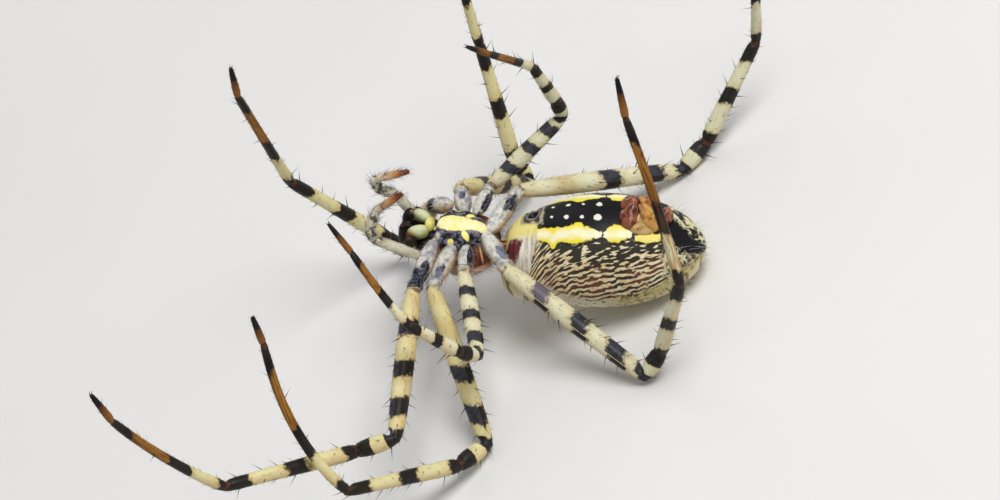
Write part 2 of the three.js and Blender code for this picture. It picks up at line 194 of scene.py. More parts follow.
# Shares of each piece's length, and radii there in millimetres: thick in the middle and drawn in
# at the joints. The coxa is drawn in once more, where the trochanter begins.
PIECE_RADII = {
    "coxa": ((0, 0.42), (0.12, 0.54), (0.3, 0.6), (0.55, 0.58), (0.7, 0.5), (0.76, 0.43),
             (0.82, 0.5), (0.9, 0.55), (1, 0.5)),
    "femur": ((0, 0.5), (0.06, 0.56), (0.18, 0.64), (0.42, 0.7), (0.7, 0.66), (0.9, 0.58), (1, 0.48)),
    "patella": ((0, 0.46), (0.25, 0.57), (0.55, 0.62), (0.8, 0.58), (1, 0.5)),
    "tibia": ((0, 0.48), (0.08, 0.54), (0.25, 0.55), (0.5, 0.5), (0.8, 0.44), (0.93, 0.43), (1, 0.38)),
    "metatarsus": ((0, 0.36), (0.06, 0.39), (0.2, 0.36), (0.4, 0.33), (0.7, 0.3), (0.94, 0.28), (1, 0.25)),
    "tarsus": ((0, 0.24), (0.12, 0.26), (0.5, 0.24), (0.85, 0.18), (1, 0.14)),
}
THIRD_GIRTH = 0.86  # the third pair is thinner


def bow_of(node, start, end):
    """Shares of a bowed piece's length, and how far the middle of its rings is off its chord."""
    axis, length = unit(end - start), np.linalg.norm(end - start)
    offsets = node_points(node) - start
    shares = offsets @ axis / length
    across = offsets - np.outer(offsets @ axis, axis)
    found = [(0.0, np.zeros(3))]
    inner = shares[(shares > BOW_ENDS) & (shares < 1 - BOW_ENDS)]
    for share in sorted(set(np.round(inner, 2))):
        ring = across[np.abs(shares - share) < RING_WIDTH]
        reach = np.linalg.norm(ring - ring.mean(0), axis=1)
        is_ring = len(ring) >= RING_CORNERS and np.ptp(reach) < ROUND_RING
        if is_ring and share - found[-1][0] > RING_APART:
            found.append((share, ring.mean(0)))
    found.append((1.0, np.zeros(3)))
    return [share for share, _ in found], np.array([middle for _, middle in found])


def leg_piece(kind, node, start, end, girth):
    """A piece of a leg between two joints. Only the metatarsus is bowed."""
    shares, radii = np.array(PIECE_RADII[kind]).T
    if kind != "metatarsus":
        return Piece(start, end, shares, radii * girth * MM)
    at, middles = bow_of(node, start, end)
    bows = np.stack([smooth(shares, at, middles[:, i]) for i in range(3)], -1)
    return Piece(start, end, shares, radii * girth * MM, bows)


def farthest(node, point):
    """The middle of the end of a node that lies farthest from a point."""
    points = node_points(node)
    distances = np.linalg.norm(points - point, axis=1)
    return points[distances > distances.max() - TIP_SLACK].mean(0)


def leg_pieces(side, pair):
    """Coxa to tarsus of one leg, from the nodes of the frame."""
    nodes = [f"leg_{side}_{pair}_{piece}" for piece in PIECES]
    joints = [joint_between(a, b) for a, b in zip(nodes, nodes[1:])]
    ends = [farthest(nodes[0], joints[0]), *joints, farthest(nodes[-1], joints[-1])]
    girth = THIRD_GIRTH if pair == 3 else 1.0
    return [leg_piece(*piece, girth) for piece in zip(PIECES, nodes, ends, ends[1:])]


# ---- Limbs ----
class Limb(typing.NamedTuple):
    """Rings of points from root to tip, the station of each ring, and by point the way along the
    limb and outwards, with the angles of the points from the back of the limb."""

    rings: np.ndarray
    stations: np.ndarray
    lies: np.ndarray
    outwards: np.ndarray
    angles: np.ndarray

    def by_ring(self, values):
        return np.repeat(values[:, None], len(self.angles), 1)

    def fields(self, density):
        """Place, lie and coat of each point. The density is given by ring."""
        turns = np.broadcast_arrays(self.stations[:, None], np.cos(self.angles), np.sin(self.angles))
        return {"place": np.stack(turns, -1), "lie": self.lies, "coat": self.by_ring(density)}


RING_SIDES = 28
RING_STEP = 0.16 * MM
CAP_ANGLES = (72, 54, 36, 18)  # degrees, of the rings that round off a free end
TIP_CAP = 0.9  # where the outer one begins, in radii from the tip
SOME_WAY = (0.3, 0.5, 0.8)  # where the back of a straight form faces

# The zone on either side of a joint, in which the skin bends: its rings before and round the ball,
# its reach in the lengths that the inner sides draw back, with a little more, up to a share of the
# piece, how its rings close up towards the joint, and the cosine past which a side is inner.
ZONE_STEPS, BALL_STEPS = 7, 4
ZONE_REACH, ZONE_MORE, ZONE_MOST = 1.15, 0.3 * MM, 0.47
ZONE_CLOSING, INNER_SIDE = 1.7, 0.4

# A joint draws the skin in by a narrow groove, and by a wider pinch where it bends.
GROOVE, GROOVE_WIDTH = 0.1, 0.09 * MM
PINCH, PINCH_WIDTH = 0.16, 0.5 * MM


def bends(pieces):
    """For each joint the half bend, the normal of the plane that halves it, and the ways from the
    joint to the inner side of the bend on the first piece and on the second."""
    found = []
    for first, second in zip(pieces, pieces[1:]):
        a, b = first.axis, second.axis
        half = math.acos(max(-1.0, min(1.0, float(a @ b)))) / 2
        found.append((half, unit(a + b), unit(b - (a @ b) * a), unit(-a + (a @ b) * b)))
    return found


def mirrored(direction, normal):
    return direction - 2 * (direction @ normal) * normal


def limb(pieces, dorsal_joint, sides=RING_SIDES, step=RING_STEP):
    """Rings of one closed skin over a jointed limb, with their place along it and its lie.

    Near a joint the inner side of the bend draws back to the plane that halves it, and the outer
    side rounds the joint as a ball, so that the skin never passes through itself. Angle 0 of each
    ring is the back of the limb, the outer side of its main bend.
    """
    joints = bends(pieces)
    fronts = [None] * len(pieces)
    fronts[dorsal_joint] = -joints[dorsal_joint][2] if joints else unit(np.cross(pieces[0].axis, SOME_WAY))
    for index in range(dorsal_joint, len(joints)):
        fronts[index + 1] = mirrored(fronts[index], joints[index][1])
    for index in range(dorsal_joint - 1, -1, -1):
        fronts[index] = mirrored(fronts[index + 1], joints[index][1])

    angles = round_angles(sides)
    rings, stations, lies, outwards = [], [], [], []
    for index, piece in enumerate(pieces):
        across = np.cross(piece.axis, fronts[index])
        spokes = np.outer(np.cos(angles), fronts[index]) + np.outer(np.sin(angles), across)

        def keep(points, share):
            rings.append(points)
            stations.append(index + share)
            lies.append(np.broadcast_to(piece.axis, points.shape))
            outwards.append(spokes)

        def radius_at(distance):
            drawn_in = 1.0
            for joint, near in ((index - 1, distance), (index, piece.length - distance)):
                if 0 <= joint < len(joints):
                    bend = math.sin(joints[joint][0]) * bump(near, PINCH_WIDTH)
                    drawn_in -= GROOVE * bump(near, GROOVE_WIDTH) + PINCH * bend
            return piece.radius(distance / piece.length) * drawn_in

        def cap(distance, sign):
            share = distance / piece.length
            radius = piece.radius(share)
            order = CAP_ANGLES if sign < 0 else CAP_ANGLES[::-1]
            for turn in map(math.radians, order):
                centre = piece.centre(share) + piece.axis * sign * radius * math.sin(turn)
                keep(centre + spokes * radius * math.cos(turn), share)

        def zone_length(joint, at_start):
            if joint is None:
                return 0.0
            reach = piece.radius(0 if at_start else 1) * math.tan(joint[0])
            return min(reach * ZONE_REACH + ZONE_MORE, ZONE_MOST * piece.length)

        def zone(joint, at_start, order):
            half, normal, *inner_sides = joint
            inner = spokes @ inner_sides[1 if at_start else 0]
            hidden = eased(inner, 0, INNER_SIDE)
            in_plane = unit(spokes - np.outer(spokes @ normal, normal))
            reach = zone_length(joint, at_start)
            for k in order:
                approach = 1 - (1 - min(k / ZONE_STEPS, 1)) ** ZONE_CLOSING
                along = approach * (1 - hidden) + hidden * k / (ZONE_STEPS + BALL_STEPS)
                nominal = reach * (1 - approach)
                radius = radius_at(nominal if at_start else piece.length - nominal)
                back = reach * (1 - along) + radius * math.tan(half) * np.maximum(inner, 0) * along
                turn = max(k - ZONE_STEPS, 0) / BALL_STEPS * (inner < 0)[:, None]
                outward = unit(spokes * (1 - turn) + in_plane * turn)
                share = nominal / piece.length if at_start else 1 - nominal / piece.length
                joint_point = piece.start if at_start else piece.end
                bow = piece.centre(share) - (piece.start + piece.axis * piece.length * share)
                sign = 1 if at_start else -1
                keep(joint_point + bow + np.outer(back * sign, piece.axis) + outward * radius, share)

        before = joints[index - 1] if index else None
        after = joints[index] if index < len(joints) else None
        last = ZONE_STEPS + BALL_STEPS
        if before is None:
            cap(0.0, -1)
        else:
            zone(before, True, range(last - 1, -1, -1))
        low = zone_length(before, True)
        tip = 0.0 if after is not None else piece.radius(1) * TIP_CAP
        high = piece.length - zone_length(after, False) - tip
        inside = np.linspace(low, high, max(int((high - low) / step), 2) + 1)
        for distance in inside[0 if before is None else 1: -1 if after is not None else None]:
            share = distance / piece.length
            keep(piece.centre(share) + spokes * radius_at(distance), share)
        if after is None:
            cap(high, 1)
        else:
            zone(after, False, range(0, last + 1))
    return Limb(np.array(rings), np.array(stations), np.array(lies), np.array(outwards), angles)


# ---- Meshes ----
def ring_faces(count, sides):
    """Faces of a stack of rings closed by a point at each end, and their corners on an unwrap."""
    ring, side = np.meshgrid(np.arange(count - 1), np.arange(sides), indexing="ij")
    after = (side + 1) % sides
    this, later = ring * sides, (ring + 1) * sides
    quads = np.stack([this + side, this + after, later + after, later + side], -1)
    low, high = ring / (count - 1), (ring + 1) / (count - 1)
    left, right = side / sides, (side + 1) / sides
    unwrap = np.stack([left, low, right, low, right, high, left, high], -1).reshape(-1, 4, 2)
    faces, corners = quads.reshape(-1, 4).tolist(), unwrap.reshape(-1, 2).tolist()
    for i in range(sides):
        j = (i + 1) % sides
        faces.append([count * sides, j, i])
        corners += [[(i + 0.5) / sides, 0], [(i + 1) / sides, 0], [i / sides, 0]]
        top = (count - 1) * sides
        faces.append([count * sides + 1, top + i, top + j])
        corners += [[(i + 0.5) / sides, 1], [i / sides, 1], [(i + 1) / sides, 1]]
    return faces, np.array(corners)


def with_ends(values):
    """Values on rings, with the mean of the first and of the last ring for the end points."""
    flat = values.reshape(-1, *values.shape[2:])
    return np.concatenate([flat, [values[0].mean(0)], [values[-1].mean(0)]])


class Skin:
    """Meshes that are joined to one piece, each with the same attributes."""

    def __init__(self):
        self.points, self.faces, self.corners, self.fields, self.count = [], [], [], {}, 0

    def add(self, rings, fields, tile=(0, 0, 1, 1)):
        """Adds a closed stack of rings. Its unwrap takes up one tile of the piece's unwrap."""
        faces, corners = ring_faces(*rings.shape[:2])
        points = with_ends(rings)
        self.points.append(points)
        self.faces += [[i + self.count for i in face] for face in faces]
        self.corners.append(corners * [tile[2], tile[3]] + [tile[0], tile[1]])
        for name, values in fields.items():
            self.fields.setdefault(name, []).append(with_ends(values))
        self.count += len(points)
        return self

    def build(self, name, material, slot, nodes=()):
        """Makes the piece, with its unwrap and a vertex attribute for each field."""
        points = np.concatenate(self.points)
        mesh = bpy.data.meshes.new(name)
        mesh.from_pydata(points.tolist(), [], self.faces)
        unwrap = mesh.uv_layers.new(name=UNWRAP)
        unwrap.data.foreach_set("uv", np.concatenate(self.corners).astype(np.float32).ravel())
        for field, parts in self.fields.items():
            values = np.concatenate(parts).astype(np.float32)
            kind, key = ("FLOAT_VECTOR", "vector") if values.ndim > 1 else ("FLOAT", "value")
            mesh.attributes.new(field, kind, "POINT").data.foreach_set(key, values.ravel())
        mesh.shade_smooth()
        mesh.materials.append(MATERIALS[material])
        mesh.update()
        return settle(name, mesh, nodes)


def new_object(name, data):
    """A new object of the scene."""
    made = bpy.data.objects.new(name, data)
    bpy.context.scene.collection.objects.link(made)
    return made


def settle(name, mesh, nodes=()):
    """Makes a mesh a piece of the model that rides with the body and stands for its nodes."""
    piece = new_object(name, mesh)
    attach(piece, "root")
    if nodes:
        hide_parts(*nodes)
    return piece


def over_floor(points):
    """Points pressed flat where they would reach below the floor."""
    points = points.copy()
    points[..., 2] = np.maximum(points[..., 2], LOWEST)
    return points


# ---- Shader trees ----
def plug(tree, socket, value):
    """Links a Signal to a socket, or sets the socket to a plain value."""
    if isinstance(value, Signal):
        tree.links.new(value.socket, socket)
    elif value is not None:
        socket.default_value = value


class Signal:
    """A socket's output, with the arithmetic that Math nodes do on it."""

    def __init__(self, tree, socket):
        self.tree, self.socket = tree, socket

    def math(self, operation, *others, clamp=False):
        node = self.tree.nodes.new("ShaderNodeMath")
        node.operation, node.use_clamp = operation, clamp
        for socket, value in zip(node.inputs, (self, *others)):
            plug(self.tree, socket, value)
        return Signal(self.tree, node.outputs[0])

    def __add__(self, other):
        return self.math("ADD", other)

    def __sub__(self, other):
        return self.math("SUBTRACT", other)

    def __mul__(self, other):
        return self.math("MULTIPLY", other)

    def __abs__(self):
        return self.math("ABSOLUTE")

    def over(self, edge, softness):
        """1 above an edge and 0 below it, with a ramp as wide as the softness."""
        return (self - edge).math("MULTIPLY_ADD", 1 / softness, 0.5, clamp=True)

    def under(self, edge, softness):
        return (self - edge).math("MULTIPLY_ADD", -1 / softness, 0.5, clamp=True)

    def within(self, low, high, softness):
        return self.over(low, softness) * self.under(high, softness)

    def most(self, other):
        return self.math("MAXIMUM", other)

    def least(self, other):
        return self.math("MINIMUM", other)


class Shades:
    """Short calls for the nodes of one shader tree."""

    def __init__(self, tree):
        self.tree = tree

    def node(self, kind, inputs=(), **settings):
        made = self.tree.nodes.new(kind)
        for key, value in settings.items():
            setattr(made, key, value)
        for key, value in dict(inputs).items():
            plug(self.tree, made.inputs[key], value)
        return made

    def out(self, node, key=0):
        return Signal(self.tree, node.outputs[key])

    def parts(self, vector):
        split = self.node("ShaderNodeSeparateXYZ", {0: vector})
        return [self.out(split, i) for i in range(3)]

    def vector(self, x, y, z):
        return self.out(self.node("ShaderNodeCombineXYZ", {0: x, 1: y, 2: z}))

    def noise(self, vector, scale, detail=2.0, roughness=0.5):
        return self.out(self.node("ShaderNodeTexNoise", {
            "Vector": vector, "Scale": scale, "Detail": detail, "Roughness": roughness}), "Fac")

    def cells(self, vector, scale):
        return self.out(self.node("ShaderNodeTexVoronoi", {"Vector": vector, "Scale": scale}), "Distance")

    def reach(self, x, y, z):
        """How far a place is from the middle of a spot, from its shares of the spot's size."""
        made = self.node("ShaderNodeVectorMath", {0: self.vector(x, y, z)}, operation="LENGTH")
        return self.out(made, "Value")

    def mix(self, factor, first, second, blend="MIX"):
        """The second colour over the first, by a factor."""
        made = self.node("ShaderNodeMix", data_type="RGBA", blend_type=blend)
        for index, value in ((0, factor), (6, first), (7, second)):
            if not isinstance(value, Signal) and index:
                value = (*value[:3], 1.0)
            plug(self.tree, made.inputs[index], value)
        return Signal(self.tree, made.outputs[2])

    def layers(self, colour, *layers):
        """Colours laid over the first one in turn, each by a factor."""
        for factor, above in layers:
            colour = self.mix(factor, colour, above)
        return colour

    def curve(self, value, points, low, high, scale):
        """A smooth outline: the value at a few places from low to high, as shares of scale."""
        made = self.node("ShaderNodeFloatCurve", {"Value": (value - low) * (1 / (high - low))})
        line = made.mapping.curves[0]
        while len(line.points) < len(points):
            line.points.new(0.5, 0.5)
        for spot, (x, y) in zip(line.points, points):
            spot.location = ((x - low) / (high - low), y / scale)
        made.mapping.update()
        return self.out(made) * scale

    def group(self, tree, inputs):
        made = self.node("ShaderNodeGroup", node_tree=tree)
        for key, value in inputs.items():
            if not isinstance(value, Signal):
                value = (*value[:3], 1.0)
            plug(self.tree, made.inputs[key], value)
        return made

    def attribute(self, name, key="Vector"):
        return self.out(self.node("ShaderNodeAttribute", attribute_name=name), key)


def shader_group(name, inputs, outputs, fill):
    """A shader node group: fill gets its Shades and its inputs, and returns its outputs."""
    tree = bpy.data.node_groups.new(name, "ShaderNodeTree")
    for label, kind in inputs:
        tree.interface.new_socket(label, in_out="INPUT", socket_type="NodeSocket" + kind)
    for label, kind in outputs:
        tree.interface.new_socket(label, in_out="OUTPUT", socket_type="NodeSocket" + kind)
    shades = Shades(tree)
    source = shades.node("NodeGroupInput")
    results = fill(shades, *[shades.out(source, i) for i in range(len(inputs))])
    sink = shades.node("NodeGroupOutput")
    for index, value in enumerate(results):
        plug(tree, sink.inputs[index], value)


def grain(s, place):
    """Fine leathery relief of the skin, and its slow change of tone. The place is in millimetres."""
    pores = s.cells(place, 9.0)
    folds = s.noise(place, 3.2, 5.0, 0.62)
    return pores.math("MULTIPLY_ADD", 0.5, folds), s.noise(place, 0.9, 3.0)


# ---- Leg markings ----
# A station counts the pieces from the coxa's root, 0, to the tarsus's tip, 6.
BANDS = (
    # first and last station of each dark band
    (1.21, 1.32), (1.49, 1.6), (1.74, 1.87), (1.955, 2.2), (2.58, 3.11),
    (3.39, 3.55), (3.81, 4.08), (4.3, 4.5), (4.84, 5.04), (5.62, 6.2),
)
BAND_EDGE, FRINGE_REACH, FRINGE_EDGE = 0.022, 0.02, 0.09
COXA_END, FEMUR, FIRST_BAND = 0.985, (1.04, 1.94), (1.15, 1.4)
KNEE, AMBER, TARSUS, TARSUS_TIP = 2.0, (4.44, 4.93), 5.03, 5.45
STREAKY, UMBER_START, UMBER_END = (4.07, 4.34), 4.36, 4.7
TROCHANTER_SEAMS = (0.735, 0.775), (0.83, 0.85)


class LegTone:
    """Colours of the legs beside those that the user sets."""

    pale_green, straw = (0.72, 0.75, 0.56), (0.8, 0.78, 0.6)
    # back is painted shade: an orange-tan tint on the back of the legs, the side turned from the light.
    back, scurf = (0.66, 0.42, 0.2), (0.3, 0.19, 0.08)
    fringe, ochre, tan = (0.6, 0.4, 0.12), (0.66, 0.4, 0.12), (0.4, 0.22, 0.06)
    umber, dusk, dark_tip = (0.15, 0.055, 0.012), (0.09, 0.032, 0.01), (0.07, 0.024, 0.01)
    blue_sheen, faded, seam = (0.05, 0.055, 0.085), (0.15, 0.125, 0.17), (0.11, 0.035, 0.02)
    coxa, coxa_grey = (0.78, 0.76, 0.74), (0.5, 0.52, 0.4)
    coxa_rear, coxa_mottle = (0.62, 0.36, 0.09), (0.2, 0.19, 0.27)
    ink, grey_ink, pale_ink = (0.012, 0.014, 0.022), (0.1, 0.11, 0.16), (0.24, 0.25, 0.36)


def leg_marks(s, place, fine, leg, cream, black, amber, tip):
    """Cream leg with black bands. The place holds the station, and the cosine and the sine of the
    angle from the back of the leg, or on the coxa the shares of underside and rear. The leg holds
    its pair, and 1 for a left or -1 for a right one."""
    station, back, flank = s.parts(place)
    pair, side, _ = s.parts(leg)
    left, right = side.over(0.0, 0.1), side.under(0.0, 0.1)
    first, second, third, fourth = (pair.within(k - 0.5, k + 0.5, 0.1) for k in (1, 2, 3, 4))
    split_leg = fourth * right
    ragged = (s.noise(fine, 3.0, 4.0, 0.6) - 0.5) * 0.1
    lobes = (back * back - 0.5) * 0.03
    under = back.under(-0.1, 0.1)
    stagger = (under - 0.5) * split_leg * 0.03
    shifted = station + ragged + lobes + stagger
    dark = fringe = None
    for low, high in BANDS:
        band = shifted.within(low, high, BAND_EDGE)
        wide = shifted.within(low - FRINGE_REACH, high + FRINGE_REACH, FRINGE_EDGE)
        dark, fringe = (band, wide) if dark is None else (dark.most(band), fringe.most(wide))
    femur = station.within(*FEMUR, 0.02)
    inner_band = station.within(*FIRST_BAND, 0.03)
    split = abs(back + 0.1).under(0.045, 0.05) * femur * split_leg * (ragged * 6.0 + 0.8)
    absent = inner_band * (fourth * left).most(second * right) * 0.95
    dark = dark * (split.most(absent) * -1.0 + 1.0)
    specks = s.cells(fine, 2.1).under(0.085, 0.05) * station.within(1.0, 4.0, 0.02)
    dark = dark.most(specks * 0.8)

    # The ground: cream, and amber with darker fibres on the outer half. Her right fourth leg has
    # streaks and umber there too.
    tone = s.noise(fine, 1.2, 4.0, 0.6)
    fibres = s.noise(s.vector(station * 6.0, back * 2.4, flank * 2.4), 1.0, 3.0, 0.6)
    dusk = station.under(4.6, 0.2) * split_leg
    streaky = station.within(*STREAKY, 0.04) * split_leg * fibres.over(0.47, 0.14)
    umber = station.over(UMBER_START, 0.24) * station.under(UMBER_END, 0.1) * split_leg
    base = s.layers(
        cream,
        (third.most(fourth) * 0.75, LegTone.pale_green),
        (tone.over(0.52, 0.5) * 0.3, LegTone.straw),
        # Painted shade: the back of the leg, on the side turned from the light, is tinted orange-tan.
        (back.over(0.45, 0.7) * station.within(1.0, 4.2, 0.1) * 0.4, LegTone.back),
        (fringe * 0.5, LegTone.fringe),
        (s.noise(fine, 9.0, 3.0, 0.7).over(0.62, 0.1) * 0.22, LegTone.scurf),
        (station.within(*AMBER, 0.06), s.mix(dusk.most(fibres.over(0.5, 0.14)) * 0.7, amber, LegTone.dusk)),
        (streaky * 0.75, LegTone.tan),
        (station.within(1.0, 1.1, 0.12) * 0.3, LegTone.ochre),
        (station.over(TARSUS, 0.03), s.mix(station.over(TARSUS_TIP, 0.4), tip, LegTone.dark_tip)),
    )

    # The bands, with a painted bluish sheen underneath, a paler painted highlight on the underside of the
    # first band of her right fourth leg, and the seams at the joints.
    sheen = s.noise(fine, 2.0, 2.0).over(0.42, 0.3) * station.under(2.4, 1.0) * under * 0.7
    deep = s.layers(
        black,
        (sheen, LegTone.blue_sheen),
        # Painted highlight: the first band's underside on her right fourth leg is paler violet-grey.
        (inner_band * under * split_leg * 0.8, LegTone.faded),
        (umber * fibres.over(0.53, 0.16) * 0.8, LegTone.umber),
    )
    membrane = abs((station + 0.5).math("FRACT") - 0.5)
    knee = abs(station - KNEE).under(0.2, 0.1)
    seam = membrane.under(0.006, 0.008) * station.within(0.9, 5.1, 0.02) * tone.over(0.48, 0.12)
    colour = s.layers(base, (dark * 0.98, deep), (seam * (knee * -0.8 + 0.8), LegTone.seam))

    # The coxa: whitish, orange towards its rear and lower side as painted shade, with a blotch of its own on
    # each pair.
    along, beside = station - (third * -0.2 + 0.6), flank - (third * 0.45 - second * 0.35 + 0.45)
    reach = (along * (third * -1.6 + 4.4)).math("POWER", 2.0) + (beside * 2.0).math("POWER", 2.0)
    wander = (s.noise(fine, 2.4, 3.0, 0.6) - 0.5) * 3.0 + (s.noise(fine, 0.45, 1.0) - 0.5) * 1.6
    blotch = (reach + wander - third * 0.5).under(0.85, 0.5)
    mottle = (s.noise(fine, 1.3, 3.0, 0.6) + first * 0.09).over(0.58, 0.14)
    inner_seam, outer_seam = TROCHANTER_SEAMS
    ring = station.within(*inner_seam, 0.02).most(station.within(*outer_seam, 0.015) * third)
    end = (station + ragged * 1.6).over(first * -0.32 + 0.88, 0.12) * (first * 0.75 + 0.25)
    ink = s.layers(
        LegTone.ink,
        (s.noise(fine, 3.2, 2.0).over(0.54, 0.2), LegTone.grey_ink),
        (second.most(split_leg) * tone.over(0.46, 0.2) * 0.9, LegTone.pale_ink),
    )
    hip = s.layers(
        LegTone.coxa,
        (s.noise(fine, 2.4, 4.0, 0.65).over(0.52, 0.24), LegTone.coxa_grey),
        (back.under(0.35, 0.5) * 0.8, LegTone.coxa_rear),
        (mottle * 0.7, LegTone.coxa_mottle),
        (blotch.most(ring * 0.7).most(end), ink),
    )
    coxa = station.under(COXA_END, 0.02)
    return s.mix(coxa, colour, hip), dark * (coxa * -1.0 + 1.0)


# ---- Abdomen markings ----
# Where the stripes begin and end round the body, in degrees, at a few places from rear to front.
STRIPE_TOP = (
    (-4.6, 38), (-3.9, 36), (-3.1, 33), (-2.5, 33), (-2.1, 26), (-1.6, 22), (-1.15, 18.5), (-0.7, 19.5),
    (-0.2, 26), (0.5, 22), (1.1, 20), (1.54, 16), (1.9, 19), (2.4, 22), (3.3, 25), (4.0, 27), (4.8, 31),
)
STRIPE_EDGE = (
    (-4.6, 43), (-3.9, 45), (-3.1, 43), (-2.5, 39), (-2.1, 34), (-1.6, 36), (-1.15, 37.5), (-0.7, 36),
    (-0.2, 31), (0.5, 34), (1.1, 37), (1.9, 40), (2.6, 40), (3.0, 43), (3.3, 52), (3.6, 45), (4.0, 44),
    (4.8, 50),
)
STRIPE_ENDS, STRIPE_RANGE = (-4.1, 4.58), (-7.0, 7.0, 60.0)
STRIPE_GAPS = ((-0.2, 0.05, 0.05), (-2.28, 0.1, 0.06))  # ahead, half width and edge
DOTS = ((3.45, 0.17), (2.4, 0.22), (1.3, 0.14), (0.18, 0.27))  # ahead and radius
DOT_ANGLE = 9.3
MIDLINE_REST, MIDLINE_BEND = 4.0, 0.7
FIELD = (-4.35, 4.1)  # the black underside, from the rear
REAR_MIDDLE, REAR_BEND, REAR_TURN, REAR_HALF = 6.0, 15.0, -3.7, 20.0
ARC = 0.066  # a degree round the body, in mm
WAVE_LENGTH = 0.46
RIM_ANGLE, BACK_ANGLE = 104.0, 120.0
FRONT_EDGE, FRONT_RIM, STROKES_END = 4.45, 6.0, 5.15
COVER_TURN, COVER_AHEAD = (50, 100), (5.4, 6.35)
FOLDS_TURN, FOLDS_AHEAD = 20, (4.0, 5.75)
PLATE_REACH, PLATE_RING, PLATE_HOLE = 0.7, (0.42, 0.56), 0.38


class AbdomenTone:
    """Colours of the abdomen beside those that the user sets."""

    ochre, stripe_middle, dot = (0.7, 0.54, 0.28), (0.98, 0.96, 0.72), (0.86, 0.85, 0.76)
    back, back_yellow, back_bar = (0.74, 0.7, 0.58), (0.78, 0.66, 0.26), (0.09, 0.055, 0.035)
    olive, dark_olive = (0.6, 0.54, 0.24), (0.17, 0.11, 0.04)
    rim, rim_spot, rear = (0.74, 0.7, 0.55), (0.24, 0.13, 0.07), (0.74, 0.7, 0.42)
    front_yellow, front, front_rim = (0.84, 0.77, 0.26), (0.8, 0.77, 0.66), (0.84, 0.75, 0.28)
    stroke, cover = (0.26, 0.16, 0.18), (0.15, 0.03, 0.04)
    fold, fold_dark = (0.42, 0.38, 0.28), (0.05, 0.043, 0.04)
    plate, plate_ring, plate_hole = (0.07, 0.06, 0.055), (0.4, 0.37, 0.33), (0.006, 0.005, 0.005)


